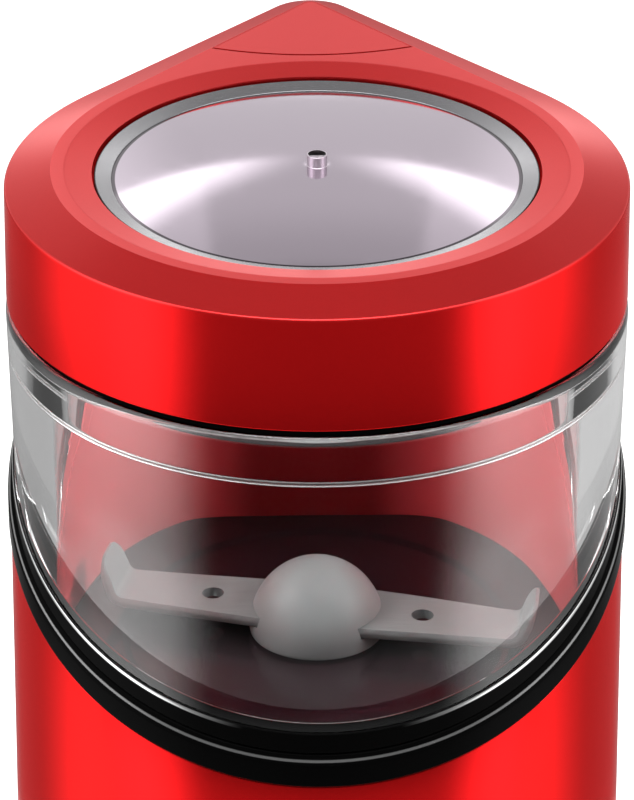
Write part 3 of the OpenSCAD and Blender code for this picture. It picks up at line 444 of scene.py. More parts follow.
low_ring, lip_ring = bowl_ring(bowl_low), bowl_ring(rise=-0.5)
bowl = [between_rings(low_ring, lip_ring, k / 12) for k in range(13)]
bowl += [bowl_ring(grow=0.15, rise=-0.12), bowl_ring(grow=0.55), slanted(deck_in + 0.3, 0.0),
         slanted(deck_in, -0.3), slanted(deck_in, -deck_t), bowl_ring(grow=bowl_wall + 0.6, rise=-deck_t),
         bowl_ring(bowl_foot, bowl_wall)]
feet = [bar((x, y, feet_low), (x, y, feet_top), feet_r)
        for x, y in arc(feet_ring, math.pi / 2, 2 * math.pi, 3)]
feet += [bar((x, boss_front, boss_z), (x, boss_back, boss_z), boss_r) for x in (-boss_x, boss_x)]
piece("red_bowl", [loft(bowl, False, True, True)] + feet, "base", ["grind_chamber"], bowl_red)
collar = turned(soft_corners([
    (collar_out, collar_low, 0), (collar_out, collar_top, 0.5), (seal_in, collar_top, 0.1),
    (seal_in, seal_z, 0), (collar_in, seal_z, 0), (collar_in, collar_low, 0)]), 64, (0, ROD_Y))
piece("rod_collar", [collar], "base", ["grind_chamber"], bowl_red)


# Bowl floor: dark polished plate lying in the bowl, its border a shade higher.
# Smoked steel that mirrors the hub; a lip seal fills its middle.
# It is held by the seal and the bowl's corner.
smoked, shader, flow = new_finish("smoked_floor", (0.008, 0.003, 0.005), 0.14, Specular_IOR_Level=0.2)
wiped = grain(flow, 90, 4, (1, 1, 1), 0.6)
feed(flow, shader, Roughness=0.1 + 0.12 * wiped,
     Base_Color=wiped.between(0.3, 0.8).tint((0.006, 0.002, 0.003), (0.011, 0.004, 0.006)))

plate_out, plate_low, seal_r, border, border_h = BOWL_R - 0.2, 108.0, 8.5, 8.8, 0.5
plate_steps = [2 * math.pi * k / 200 for k in range(200)]


def plate_ring(radius, z):
    reaches = [(a, flat_backed(radius, BOWL_FLAT - 0.15, a)) for a in plate_steps]
    return [(reach * math.cos(a), reach * math.sin(a), z) for a, reach in reaches]


plate = [(seal_r, FLOOR_Z), (plate_out - border - 1.4, FLOOR_Z), (plate_out - border - 1.1, FLOOR_Z + 0.08),
         (plate_out - border - 0.3, FLOOR_Z + 0.42), (plate_out - border, FLOOR_Z + border_h),
         (plate_out - 0.3, FLOOR_Z + border_h), (plate_out, FLOOR_Z + 0.3), (plate_out, plate_low),
         (seal_r, plate_low)]
plate_skin = loft([plate_ring(r, z) for r, z in plate])
piece("dark_floor", [plate_skin], "base", ["bowl_floor"], smoked)


# Blade: two-armed strip with a hole in each arm and upturned, rounded ends.
# Satin stainless sheet with fine lengthwise grind marks.
# The hub is moulded over its middle.
BLADE_TURN = math.radians(-12.6)
blade_z, blade_t, blade_len, tab_h, tab_lean = 112.1, 1.5, 30.4, 5.8, math.radians(22)
bend_r, root_half, tip_half, root_end = 2.2, 6.0, 4.35, 8.1
hole_at, hole_r, hole_past = 16.0, 1.65, 2.1
tab_corner, tab_taper, edge_half, bend_start = 2.6, 0.35, 0.22, blade_len - 1.2

satin, shader, flow = new_finish("satin_blade", (0.15, 0.16, 0.16), 0.36, Metallic=0.25)
along_blade = flow.node("Mapping", Vector=flow.node("TexCoord", out="Object"), Rotation=(0, 0, -BLADE_TURN),
                        Scale=(40, 900, 400))
marks = flow.node("TexNoise", Scale=4.0, Detail=3.0, Vector=along_blade)
feed(flow, shader, Roughness=0.3 + 0.2 * marks,
     Base_Color=marks.between(0.25, 0.8).tint((0.14, 0.15, 0.15), (0.17, 0.18, 0.18)))
bumped(flow, shader, marks, 0.12, 0.0001)


def strip_at(s):
    """Middle line of one arm at developed length s: place along the arm, height and slope."""
    turn = math.pi / 2 - tab_lean
    if s < bend_start:
        return s, 0.0, 0.0
    bent = min((s - bend_start) / bend_r, turn)
    rest = max(0.0, s - bend_start - bend_r * turn)
    return (bend_start + bend_r * math.sin(bent) + rest * math.cos(turn),
            bend_r * (1 - math.cos(bent)) + rest * math.sin(turn), bent)


def half_width(s, total):
    """Half the strip's width, with the tab's corners rounded off."""
    if s < root_end:
        return root_half
    if s < blade_len:
        wide = root_half - (root_half - tip_half) * (s - root_end) / (blade_len - root_end)
    else:
        wide = tip_half - tab_taper * (s - blade_len) / (total - blade_len)
    end = total - s
    if end < tab_corner:
        wide -= tab_corner - math.sqrt(max(0.0, tab_corner ** 2 - (tab_corner - end) ** 2))
    return max(wide, 0.25)


def turned_to_blade(x, y):
    cos, sin = math.cos(BLADE_TURN), math.sin(BLADE_TURN)
    return x * cos - y * sin, x * sin + y * cos


def cut(target, shells):
    """Takes the given closed skins out of a piece."""
    tool_mesh = skin_mesh("cutter", shells)
    tool = bpy.data.objects.new("cutter", tool_mesh)
    bpy.context.scene.collection.objects.link(tool)
    bite = target.modifiers.new("bite", "BOOLEAN")
    bite.operation, bite.solver, bite.object = "DIFFERENCE", "EXACT", tool
    target.modifiers.move(len(target.modifiers) - 1, 0)
    even = target.modifiers["even_normals"]
    even.show_viewport = False
    bpy.context.view_layer.update()
    solved = bpy.data.meshes.new_from_object(target.evaluated_get(bpy.context.evaluated_depsgraph_get()))
    target.modifiers.remove(bite)
    even.show_viewport = True
    old, target.data = target.data, solved
    solved.shade_smooth()
    solved.set_sharp_from_angle(angle=math.radians(CREASE))
    bpy.data.objects.remove(tool)
    bpy.data.meshes.remove(tool_mesh)
    bpy.data.meshes.remove(old)


strip = blade_len + tab_h + 0.6
lengths = [0.02 + (strip - 0.02) * k / 70 for k in range(70)] + [strip - 0.3, strip - 0.12, strip - 0.03]
sections = []
for side in (-1, 1):
    for s in sorted(lengths, reverse=side < 0):
        x, z, slope = strip_at(s)
        wide = half_width(s, strip)
        half = blade_t / 2 * (0.35 + 0.65 * min(1.0, (strip - s) / 3.0))
        flat, brim = wide - edge_half, edge_half
        ring = []
        for u, v in [(-wide, -brim), (-flat, -half), (flat, -half), (wide, -brim),
                     (wide, brim), (flat, half), (-flat, half), (-wide, brim)]:
            place = turned_to_blade(side * (x - v * math.sin(slope)), u)
            ring.append((*place, blade_z + blade_t / 2 + z + v * math.cos(slope)))
        sections.append(ring)
blade_skin = loft(sections, False, True, True)
blade = piece("satin_blade", [blade_skin], "rotor", ["blade"], satin, 40)
holes = [turned_to_blade(side * hole_at, 0) for side in (-1, 1)]
cut(blade, [bar((x, y, blade_z - hole_past), (x, y, blade_z + blade_t + hole_past), hole_r)
            for x, y in holes])


# Hub: half ball moulded over the blade's middle, on a short upright skirt.
# Satin grey plastic with a fine mould texture.
# It sits on the flatted spindle.
hub_r, hub_low, hub_mid, bore_r, bore_top, axis_r = 10.1, 109.8, 110.4, 3.05, 117.1, 0.05
slot_x, slot_y, slot_play = 14.0, root_half + 0.12, 0.1

hub_grey, shader, flow = new_finish("hub_grey", (0.14, 0.148, 0.148), 0.42)
fine = grain(flow, 1500, 3)
feed(flow, shader, Roughness=0.36 + 0.12 * fine,
     Base_Color=grain(flow, 80, 2).tint((0.13, 0.138, 0.138), (0.15, 0.16, 0.16)))
bumped(flow, shader, fine, 0.06, 0.0002)

hub_profile = [(bore_r, hub_low), (hub_r - 0.4, hub_low), (hub_r - 0.08, hub_low + 0.15),
               (hub_r, hub_low + 0.45)]
hub_profile += arc(hub_r, 0, math.pi / 2, 30, hub_mid)
hub_profile += [(axis_r, hub_mid + hub_r), (axis_r, bore_top), (bore_r, bore_top)]
hub = piece("round_hub", [turned(hub_profile, 120)], "rotor", ["blade_hub"], hub_grey)
slot = [turned_to_blade(x, y) for x, y in
        [(-slot_x, -slot_y), (slot_x, -slot_y), (slot_x, slot_y), (-slot_x, slot_y)]]
slot_rings = [[(x, y, z) for x, y in slot] for z in (blade_z - slot_play, blade_z + blade_t + slot_play)]
cut(hub, [loft(slot_rings, False, True, True)])


# Slanted trims: black ring on the housing's edge, the bowl's red rim inside it, black ring under the cover.
# Black plastic, deep and smooth, with a narrow painted highlight: a metallic stripe along its upper edges
# that stands in for edge glints; the rim has the bowl's red, with its painted shade at the front.
# A hairline joint runs between them; the upper ring holds the cover's foot and lifts away with it.
SEAT_Z = 164.4
TRIM_H, TRIM_TOP, COVER_FOOT = 4.7, 8.1, 5.3
trim_out, trim_in, rim_in, rim_gap = -0.4, 2.3, 5.6, 0.05
lip_out, lip_in, sole_low, sole_top = 0.3, 0.66, 4.95, 5.25


def from_axis(flow):
    """Distance from the machine's upright axis in millimetres."""
    right, behind, up = spot_on(flow)
    return flow.maths("SQRT", right * right + behind * behind)


gloss_black, shader, flow = new_finish("gloss_black", (0.004, 0.004, 0.004), 0.14, Specular_IOR_Level=0.006)
right, behind, up = spot_on(flow)
rise = up - RIM_Z - behind * RIM_SLOPE
# Painted highlight: metallic bright bands along the trims' top edges stand in for glints, the upper one faded
# out at the front.
upper_painted_highlight = rise.between(TRIM_TOP - 0.55, TRIM_TOP - 0.4) * (1 - rise.between(TRIM_TOP - 0.08, TRIM_TOP))
lower_painted_highlight = rise.between(TRIM_H - 0.7, TRIM_H - 0.6) * (1 - rise.between(TRIM_H - 0.46, TRIM_H - 0.36))
highlight_fade_at_flanks = flow.maths("ABSOLUTE", right).between(11, 25)
painted_highlight = from_axis(flow).between(44.0, 44.2) * (upper_painted_highlight * highlight_fade_at_flanks + 0.35 * lower_painted_highlight)
feed(flow, shader, Roughness=0.1 + 0.08 * grain(flow, 140, 3), Metallic=painted_highlight,
     Base_Color=painted_highlight.tint((0.003, 0.003, 0.003), (0.5, 0.5, 0.5)))


def slanted_trim(name, body, node, finish, corners, highest, vanish=None):
    """Ring of a closed profile (inset, rise, radius) on the slant, left out where it has no height."""
    points, faces = loft([slanted(inset, rise, highest) for inset, rise in soft_corners(corners, 5)])
    if vanish is not None:
        faces = [face for face in faces
                 if any(RIM_Z + vanish + points[k][1] * RIM_SLOPE < highest for k in face)]
    return piece(name, [(points, faces)], body, [node], finish, 40)


slanted_trim("housing_trim", "base", "housing_rim", gloss_black,
             [(trim_out, 0.0, 0.5), (trim_out, TRIM_H, 1.3), (trim_in, TRIM_H, 0.3), (trim_in, 0.0, 0.1)],
             SEAT_Z - 0.5)
slanted_trim("bowl_rim", "base", "housing_rim", bowl_red,
             [(trim_in + rim_gap, rim_gap, 0.1), (trim_in + rim_gap, TRIM_H, 0.3), (rim_in, TRIM_H, 0.5),
              (rim_in, rim_gap, 0.1)], SEAT_Z - 0.5)
slanted_trim("cover_trim", "lid", "cover_rim", gloss_black,
             [(lip_out, sole_low, 0.3), (lip_out, TRIM_TOP, 0.2), (lip_in, TRIM_TOP, 0.1),
              (lip_in, sole_top, 0), (trim_in, sole_top, 0.1), (trim_in, sole_low, 0.1)], SEAT_Z, sole_low)


# Clear cover: one clear moulding, a thick tapering wall with a ring inside, a roof, a neck in the lid.
# Polished clear plastic, faintly grey through its depth; the ring inside is ground, and painted dark as
# painted shade.
# Its foot stands in the upper trim, and three screws from below join it to the lid.
cover_out, band_out, cover_in, wall_low = 0.7, -0.1, 5.4, 138.0
ring_z, ring_r, roof_low, roof_high, roof_r = 155.6, 0.36, 163.0, 165.0, 0.6
neck_out, neck_in, neck_top, foot_cut = 2.9, 4.7, 172.0, SEAT_Z - 0.02
lean_low, lean_high, lean_z, lean_from, lean_over = 0.2, 1.6, 25.0, -8.0, 20.0
LID_SCREWS, screw_hole, rod_hole, bore_foot, bore_head = [(-26, -15), (26, -15), (0, 30)], 1.7, 3.6, 158, 168

clear, shader, flow = new_finish("clear_plastic", (0.99, 0.99, 0.99), 0.0, Transmission_Weight=1.0, IOR=1.49)
up = spot_on(flow)[2]
at_ring = up.between(ring_z - 0.5, ring_z - 0.4) * (1 - up.between(ring_z + 0.4, ring_z + 0.5))
# Painted shade: the ground ring's colour is darkened so it shows less light than it catches; its roughness is
# the real grinding.
ground_ring_and_painted_shade = (1 - from_axis(flow).between(41.8, 42.0)) * at_ring
feed(flow, shader, Roughness=0.015 * grain(flow, 60, 2).between(0.45, 0.8) + 0.4 * ground_ring_and_painted_shade,
     Base_Color=ground_ring_and_painted_shade.tint((0.99, 0.99, 0.99), (0.06, 0.06, 0.06)))
depth = flow.node("VolumeAbsorption", Color=(0.5, 0.5, 0.5, 1.0), Density=26.0)
flow.tree.links.new(depth.socket, flow.tree.nodes["Material Output"].inputs["Volume"])


def cover_ring(inset, z):
    """Level ring, raised onto the slant where the wall is cut off."""
    return [(x, y, max(z, min(RIM_Z + COVER_FOOT + y * RIM_SLOPE, foot_cut))) for x, y in outline(inset)]


def inner_ring(inset, z):
    """Inner face of the wall: upright at the sides, leaning out towards its top in front."""
    leaning = cover_ring(inset + lean_low - lean_high * (z - wall_low) / lean_z, z)
    ring = []
    for p, q in zip(cover_ring(inset, z), leaning):
        share = max(0.0, min(1.0, (lean_from - p[1]) / lean_over))
        share *= share * (3 - 2 * share)
        ring.append(tuple(a + (b - a) * share for a, b in zip(p, q)))
    return ring


quarter = [k * math.pi / 16 for k in range(9)]
hollow = [(cover_in + roof_r * (1 - math.sin(a)), roof_low - roof_r * (1 - math.cos(a))) for a in quarter]
hollow += [(cover_in + ring_r * math.sin(2 * a), ring_z + ring_r * math.cos(2 * a)) for a in quarter]
hollow.append((cover_in, wall_low))
cover_foot = [(cover_in + 0.4, 0.1), (cover_in + 0.3, 0.0), (cover_out + 0.1, 0.0), (cover_out, 0.1)]
shoulder = [(0, 1.6), (0, 1.3), (0.12, 0.76), (0.38, 0.36), (0.7, 0.12), (1.0, 0)]
outer = [(cover_out, wall_low), (cover_out - 0.4, 150.5)]
outer += [(band_out + d, SEAT_Z - below) for d, below in shoulder]
outer += [(neck_out, SEAT_Z), (neck_out, neck_top - 0.3), (neck_out + 0.2, neck_top), (neck_in, neck_top),
          (neck_in, roof_high + 0.3), (neck_in + 0.3, roof_high)]
skin = [inner_ring(inset, z) for inset, z in hollow]
skin += [slanted(inset, COVER_FOOT + h, foot_cut) for inset, h in cover_foot]
skin += [cover_ring(inset, z) for inset, z in outer]
cover_skin = loft(skin, False, True, True)
cover = piece("clear_cover_wall", [cover_skin], "lid", ["clear_cover"], clear)
cut(cover, [bar((0, ROD_Y, bore_foot), (0, ROD_Y, bore_head), rod_hole)]
    + [bar((x, y, bore_foot), (x, y, bore_head), screw_hole, 24) for x, y in LID_SCREWS])
cover.visible_shadow = False


# Gasket: thin black rubber line between the cover and the lid.
# Soft rubber cord of flat section.
# It lies on the cover's flange and is pinched by the lid.
LID_Z = 165.3
seal_out, seal_back = 0.5, 2.8
seal_black, shader, flow = new_finish("seal_rubber", (0.002, 0.002, 0.002), 0.8, Specular_IOR_Level=0.0)
feed(flow, shader, Roughness=0.7 + 0.2 * grain(flow, 900, 2))
seal = soft_corners([(seal_out, SEAT_Z, 0.2), (seal_out, LID_Z, 0.2), (seal_back, LID_Z, 0.1),
                     (seal_back, SEAT_Z, 0.1)], 3)
piece("lid_seal", [loft([level(inset, z) for inset, z in seal])], "lid", ["lid_gasket"], seal_black)


# Lid: red cap with an upright side, a sloping border and a flat top with a round recess.
# Same satin metallic red lacquer as the housing.
# The beak is cut out for the press panel; three posts take the cover's screws.
TOP_Z, ROOF_Z, RECESS_Z = 185.0, 180.5, 181.9
CROWN_W, CROWN_TIP_W = 6.7, 5.6
ARC_Y, ARC_R = 80.0, 41.6
lid_wall, hole_in, post_r, window_out, window_in = 2.4, 0.2, 4.0, 36.5, 32.35


def crown_ring(inset, z):
    """Teardrop of the lid, closing in more slowly at the beak than round the front."""
    return [(x, y, z) for x, y in teardrop(BODY_R - inset, TIP_R - inset * CROWN_TIP_W / CROWN_W)]


def beak_ring(inset, arc_r, z, front=40, side=14, tip=8):
    """Outline of the press panel: flanks and tip of the flat top behind a curved front edge."""
    big, small = BODY_R - CROWN_W - inset, max(TIP_R - CROWN_TIP_W - inset, 0.03)
    flank = math.asin((big - small) / TIP_Y)
    nx, ny, lean = math.cos(flank), math.sin(flank), math.tan(flank)
    a, b, c = 1 + lean * lean, -2 * (big * lean / nx + ARC_Y), (big / nx) ** 2 + ARC_Y ** 2 - arc_r ** 2
    corner_y = (-b - math.sqrt(b * b - 4 * a * c)) / (2 * a)
    corner_x = big / nx - corner_y * lean
    spread = math.atan2(corner_x, ARC_Y - corner_y)
    tip_x, tip_y = small * nx, TIP_Y + small * ny
    ring = arc(arc_r, spread - math.pi / 2, -2 * spread, front, ARC_Y)
    ring += run((-corner_x, corner_y), (-tip_x, tip_y), side)
    ring += arc(small, math.pi - flank, 2 * flank - math.pi, tip, TIP_Y)
    ring += run((tip_x, tip_y), (corner_x, corner_y), side)
    return [(x, y, z) for x, y in ring]


def filled(loops):
    """Flat face between an outer loop and the holes in it."""
    form = bmesh.new()
    edges = []
    for loop in loops:
        corners = [form.verts.new(p) for p in loop]
        edges += [form.edges.new((corners[k], corners[(k + 1) % len(corners)])) for k in range(len(corners))]
    bmesh.ops.triangle_fill(form, use_beauty=True, use_dissolve=False, edges=edges)
    form.verts.index_update()
    points = [tuple(v.co) for v in form.verts]
    faces = [tuple(v.index for v in f.verts) for f in form.faces]
    form.free()
    return points, faces


lid_side = soft_corners([(lid_wall, ROOF_Z, 0), (lid_wall, LID_Z, 0.25), (0.0, LID_Z, 0.35),
                         (0.0, LID_TOP, 0.55), (CROWN_W, TOP_Z, 0)], 5)
opening = [beak_ring(hole_in, ARC_R, z) for z in (TOP_Z, ROOF_Z)]
window = [circle(r, z) for r, z in
          [(window_out, TOP_Z), (window_out - 0.2, TOP_Z - 0.02), (window_out - 0.4, TOP_Z - 0.05),
           (window_in, TOP_Z - 0.72), (window_in, RECESS_Z)]]
shells = [loft([crown_ring(inset, z) for inset, z in lid_side], False),
          filled([crown_ring(CROWN_W, TOP_Z), opening[0], window[0]]),
          loft(opening, False),
          loft(window, False, cap_last=True),
          filled([crown_ring(lid_wall, ROOF_Z), opening[1]])]
shells += [bar((x, y, roof_high), (x, y, ROOF_Z), post_r) for x, y in LID_SCREWS]
piece("red_lid", shells, "lid", ["lid_cap"], red, 15.5).visible_shadow = False


# Press panel: red key that fills the beak of the lid, with a stem down to the push rod.
# Red lacquered plastic, its edge broken by a small radius.
# A spring under it brings it back.
panel_in, panel_arc, panel_low = 0.23, ARC_R - 0.42, 178.0
stem_low, stem_top, stem_r = 161.34, 182.0, 3.3
panel_edge = [(0.0, panel_low), (0.0, TOP_Z - 0.08), (0.02, TOP_Z - 0.02), (0.08, TOP_Z)]
panel = loft([beak_ring(panel_in + d, panel_arc - d, z) for d, z in panel_edge], False, True, True)
stem = bar((0, ROD_Y, stem_low), (0, ROD_Y, stem_top), stem_r)
piece("press_panel", [panel, stem], "button", ["press_button"], red)


# Return springs: one under the panel, one under the push rod's flange.
# Drawn steel wire wound into an open coil.
# Each stands on a fixed seat; the press shortens the real spring, but the coil is built at one length.
def wire_coil(name, body, node, coil_r, wire_r, low, high, turns):
    """Coil round the push rod's axis, built at one length with a mesh of its own."""
    steps = turns * 40
    rings = []
    for i in range(steps + 1):
        a = 2 * math.pi * turns * i / steps
        z = low + wire_r + (high - low - 2 * wire_r) * i / steps
        section = arc(wire_r, 0, 2 * math.pi, 10)
        rings.append([((coil_r + out) * math.cos(a), ROD_Y + (coil_r + out) * math.sin(a), z + up)
                      for out, up in section])
    made = piece(name, [loft(rings, False, True, True)], body, [node], wire_steel)
    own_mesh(made)


wire_coil("panel_spring", "lid", "button_spring",
          coil_r=4.6, wire_r=0.4, low=165.0, high=182.7, turns=7)
wire_coil("return_spring", "base", "rod_spring",
          coil_r=4.0, wire_r=0.35, low=131.04, high=144.5, turns=6)


# Disc: domed sheet with a small cupped stud in its middle, lying in the lid's recess.
# Bright polished steel, a little cloudy; the stud is duller and painted lighter than the disc as painted
# light, and painted shade darkens its cup's far wall and the joint round the disc.
# The bezel is pressed into the recess over its flange.
DOME_FOOT, DOME_RISE, DISC_R = 183.2, 2.0, 29.5
dome_r = (DISC_R ** 2 + DOME_RISE ** 2) / (2 * DOME_RISE)
flange_r, flange_top = 31.0, 182.7
stud_r, stud_h, cup_r, cup_d = 1.45, 1.7, 1.23, 0.51

disc_steel, shader, flow = new_finish("disc_steel", (0.45, 0.388, 0.445), 0.08, Metallic=0.95)
right, behind, up = spot_on(flow)
far = from_axis(flow)
nearer = behind + 0.75
off_cup = flow.maths("SQRT", right * right + nearer * nearer)
# Painted shade: a dark crescent on the cup's far wall, and a dark ring at the joint round the disc.
crescent = (1 - far.between(1.26, 1.32)) * off_cup.between(1.2, 1.3)
dark = flow.maths("MAXIMUM", crescent * up.between(185.6, 185.8), 0.85 * far.between(28.95, 29.1))
past_stud = far.between(1.5, 1.6)
# Painted light: the stud's colour is lighter than the disc's to stand in for light on it.
steel_and_painted_stud_light = past_stud.tint((0.53, 0.47, 0.52), (0.45, 0.388, 0.445))
feed(flow, shader, Roughness=0.05 + 0.06 * grain(flow, 400, 3) + 0.3 * (1 - past_stud),
     Base_Color=dark.tint(steel_and_painted_stud_light, (0.01, 0.008, 0.009)))


def dome_z(r):
    return DOME_FOOT + DOME_RISE - dome_r + math.sqrt(dome_r ** 2 - r ** 2)


stud_top, stud_foot = dome_z(0) + stud_h, dome_z(1.6)
disc_profile = [(flange_r, RECESS_Z), (flange_r, flange_top), (DISC_R + 0.1, flange_top),
                (DISC_R, dome_z(DISC_R))]
disc_profile += [(r, dome_z(r)) for r in (28, 26, 24, 22, 20, 18, 16, 14, 12, 10, 8, 6, 4, 3, 2.2, 1.8)]
disc_profile += [(stud_r + 0.05, stud_foot + 0.02), (stud_r, stud_foot + 0.07), (stud_r, stud_top - 0.05),
                 (stud_r - 0.04, stud_top - 0.01), (cup_r + 0.05, stud_top)]
disc_profile += [(cup_r * math.cos(a), stud_top - cup_d * math.sin(a) ** 1.4)
                 for a in (k * math.pi / 14 for k in range(7))]
disc_profile += [(axis_r, stud_top - cup_d), (axis_r, RECESS_Z)]
disc = piece("domed_disc", [turned(disc_profile, 200)], "lid", ["lid_disc"], disc_steel)
disc.visible_shadow = False


# Bezel: narrow ring that holds the disc down.
# Satin grey metallic plastic; its skirt is painted black as painted shade in the gap to the lid.
# It is pressed into the recess over the disc's flange.
bezel_in, bezel_out, bezel_low, bezel_top, bezel_lip = 29.55, 32.1, 182.75, 183.95, 183.3
bezel_grey, shader, flow = new_finish("bezel_grey", (0.26, 0.255, 0.265), 0.3, Metallic=0.9)
# Painted shade: the skirt is painted near black where the gap to the lid lies in shade.
painted_gap_shade = from_axis(flow).between(31.75, 31.9)
shade = grain(flow, 60, 2).tint((0.24, 0.235, 0.245), (0.29, 0.285, 0.295))
feed(flow, shader, Roughness=0.18 + 0.1 * grain(flow, 900, 3),
     Base_Color=painted_gap_shade.tint(shade, (0.002, 0.002, 0.002)))
bezel_profile = soft_corners([(bezel_in, bezel_low, 0), (bezel_out, bezel_low, 0),
                              (bezel_out, bezel_top, 0.25), (bezel_in, bezel_lip, 0.12)], 4)
bezel = piece("grey_bezel", [turned(bezel_profile, 200)], "lid", ["disc_bezel"], bezel_grey)
bezel.visible_shadow = False


# Table: plain pale top that keeps the soft shadow of the machine.
# Matt white laminate; it counts as white where it is looked at, also in gloss and through glass.
# It lies under the foot ring.
def watched_rays(flow):
    """1 for what the camera, gloss and clear plastic look at."""
    eye_ray, gloss_ray, clear_ray = (flow.node("LightPath", out="Is " + kind + " Ray")
                                     for kind in ("Camera", "Glossy", "Transmission"))
    return flow.maths("MAXIMUM", flow.maths("MAXIMUM", eye_ray, gloss_ray), clear_ray)


def stage_piece(name, points, faces, surface):
    """Table or panel that is not part of the machine; surface makes its shader."""
    mesh = bpy.data.meshes.new(name)
    mesh.from_pydata(points, [], faces)
    made = bpy.data.objects.new(name, mesh)
    bpy.context.scene.collection.objects.link(made)
    material = bpy.data.materials.new(name)
    material.use_nodes = True
    material.node_tree.nodes.clear()
    flow = Flow(material.node_tree)
    end = material.node_tree.nodes.new("ShaderNodeOutputMaterial")
    material.node_tree.links.new(surface(flow).socket, end.inputs["Surface"])
    mesh.materials.append(material)
    return made


def glow(flow, brightness):
    return flow.node("Emission", Color=brightness, Strength=1.0)


def table_surface(flow):
    matt = flow.node("BsdfDiffuse", Color=(0.8, 0.8, 0.8, 1))
    far = from_axis(flow).between(500, 2200)
    lit = flow.node("AddShader", i0=matt, i1=glow(flow, 0.55 + 0.45 * far))
    return flow.node("MixShader", Fac=watched_rays(flow), i1=matt, i2=lit)


half = 4.0
stage_piece("table", [(-half, -half, 0), (half, -half, 0), (half, half, 0), (-half, half, 0)], [(0, 1, 2, 3)],
            table_surface)


# Room: even soft light from all round.
# It lights the machine weakly, and is white where it is looked at.
world = bpy.data.worlds.new("studio")
world.use_nodes = True
bpy.context.scene.world = world
flow = Flow(world.node_tree)
soft_room, white_room = (flow.node("Background", Color=(1, 1, 1, 1), Strength=light) for light in (0.18, 1.0))
room = flow.node("MixShader", Fac=watched_rays(flow), i1=soft_room, i2=white_room)
world.node_tree.links.new(room.socket, world.node_tree.nodes["World Output"].inputs["Surface"])


# Studio panels: curved wall, ceiling and back panel, seen only in gloss and clear plastic.
# Bright strips stand at both sides, a dark gap before the clear cover; the disc mirrors the back panel.
# They give highlights and no other light; angles are in degrees from the front, heights in millimetres.
def only_in_gloss(panel, through_clear):
    panel.visible_camera = panel.visible_diffuse = panel.visible_shadow = False
    panel.visible_transmission = through_clear


def wall_surface(flow):
    x, y, z = spot_on(flow)
    swing = flow.maths("ARCTAN2", x, 0 - y) * (180 / math.pi)
    turn = flow.maths("ABSOLUTE", swing)
    at_cover = z.between(54, 59) * (1 - z.between(107.5, 111))
    rise = flow.maths("ABSOLUTE", swing - 1.6).between(36.5, 60.5)
    fall = (flow.maths("ABSOLUTE", swing + 4) + 6 * at_cover).between(67, 113)
    front = 0.52 - 0.5 * at_cover + 0.3 * (1 - z.between(48, 56)) + 7 * z.between(320, 350)
    strip = 3.4 - at_cover * (1.2 + 0.8 * (1 - z.between(67, 77)) - 1.6 * (1 - z.between(59, 66)))
    edge = 0.5 + 0.22 * swing.between(0, 30)
    back = (0.6 * (1 - at_cover) + edge * at_cover) * (1 - 0.6 * turn.between(138, 178))
    return glow(flow, front * (1 - rise) + strip * rise * (1 - fall) + back * fall)


card_r, card_low, card_back, card_front, card_steps = 0.15, 0.0005, 0.19, 0.45, 120
foot_line = [(-y, -x) for x, y in arc(card_r, 0, -2 * math.pi, card_steps)]
card_foot = [(x, y, card_low) for x, y in foot_line]
card_head = [(x, y, card_front if y < 0.3 * card_r else card_back) for x, y in foot_line]
only_in_gloss(stage_piece("curved_wall", *loft([card_foot, card_head], False), wall_surface), True)


def ceiling_surface(flow):
    x, y, z = spot_on(flow)
    return glow(flow, 0.42 + 6.5 * (1 - y.between(-130, -90)))


ceiling_r, ceiling_z, ceiling_steps = 0.45, 0.6, 48
ceiling = stage_piece("ceiling", circle(ceiling_r, ceiling_z, ceiling_steps), [tuple(range(ceiling_steps))],
                      ceiling_surface)
only_in_gloss(ceiling, False)


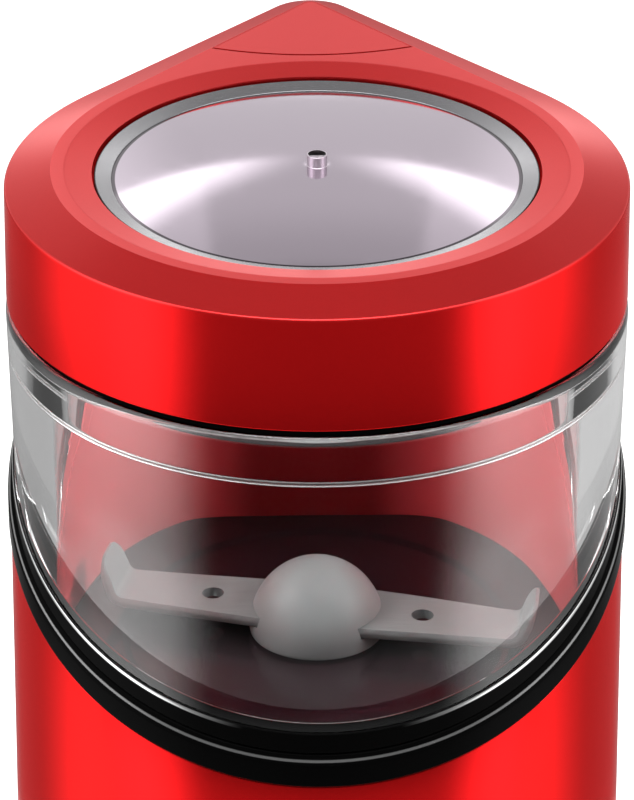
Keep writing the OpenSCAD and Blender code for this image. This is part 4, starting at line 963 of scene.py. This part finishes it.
def back_surface(flow):
    x, y, z = spot_on(flow)
    off = flow.maths("ABSOLUTE", x - 9)
    above_arc = z - 403 - 0.0035 * off * off
    lower = above_arc.between(-8, 6)
    crescent = lower * (1 - (above_arc - 0.75 * off).between(-45, 30))
    frame_side = (off - 61 - 0.06 * (z - 400)).between(-3, 5)
    plain = 0.95 + 0.5 * off.between(60, 120)
    under = 0.86 - 0.2 * (z - 480).between(0, 140) + 0.3 * frame_side
    disc_view = plain * (1 - lower) + under * lower + (0.2 + 1.9 * off.between(0, 52)) * crescent
    border_view = 0.7 - 0.18 * x.between(-20, 20)
    far_out = off.between(165, 185)
    low_strip = 1.3 * (1 - z.between(262, 270))
    return glow(flow, disc_view * (1 - far_out) + border_view * far_out + low_strip)


half, far, low, high = 0.5, 0.5, 0.19, 0.7
panel_corners = [(-half, far, low), (half, far, low), (half, far, high), (-half, far, high)]
only_in_gloss(stage_piece("back_panel", panel_corners, [(0, 1, 2, 3)], back_surface), False)


# Lamps: three soft boxes that give the plain level of light.
# One hangs above and behind, one stands high at each side.
def lamp(name, place, aim, size, power):
    light = bpy.data.lights.new(name, "AREA")
    light.shape = "RECTANGLE"
    light.size, light.size_y = size
    light.energy = power
    made = bpy.data.objects.new(name, light)
    bpy.context.scene.collection.objects.link(made)
    made.location = place
    made.rotation_euler = (Vector(aim) - Vector(place)).to_track_quat("-Z", "Y").to_euler()
    made.visible_glossy = False


lamp("above", (0, 0.2, 1.1), (0, 0, 0.1), (0.6, 0.3), 5)
lamp("left", (-0.75, -0.02, 0.62), (0, 0, 0.13), (0.2, 0.4), 7.5)
lamp("right", (0.75, -0.02, 0.62), (0, 0, 0.13), (0.2, 0.4), 7.5)


# Camera: long lens, looking down on the lid from the front.
# Its length is given in picture points of a frame 800 high, its distance in metres.
lens_points, frame_points, film, eye_far = 6847.758, 800, 36.0, 1.0
pitch, eye_swing = math.radians(27.255), math.radians(-1.0)
target = Vector((0, 0, 147.204)) * MM
eye = bpy.data.cameras.new("eye")
eye.lens = film * lens_points / frame_points
eye.sensor_width = film
eye.clip_start, eye.clip_end = 0.05, 50
camera = bpy.data.objects.new("eye", eye)
bpy.context.scene.collection.objects.link(camera)
level_far = math.cos(pitch)
away = Vector((math.sin(eye_swing) * level_far, -math.cos(eye_swing) * level_far, math.sin(pitch)))
camera.location = target + away * eye_far
camera.rotation_euler = (-away).to_track_quat("-Z", "Y").to_euler()
bpy.context.scene.camera = camera
bpy.context.scene.view_settings.view_transform = "Standard"
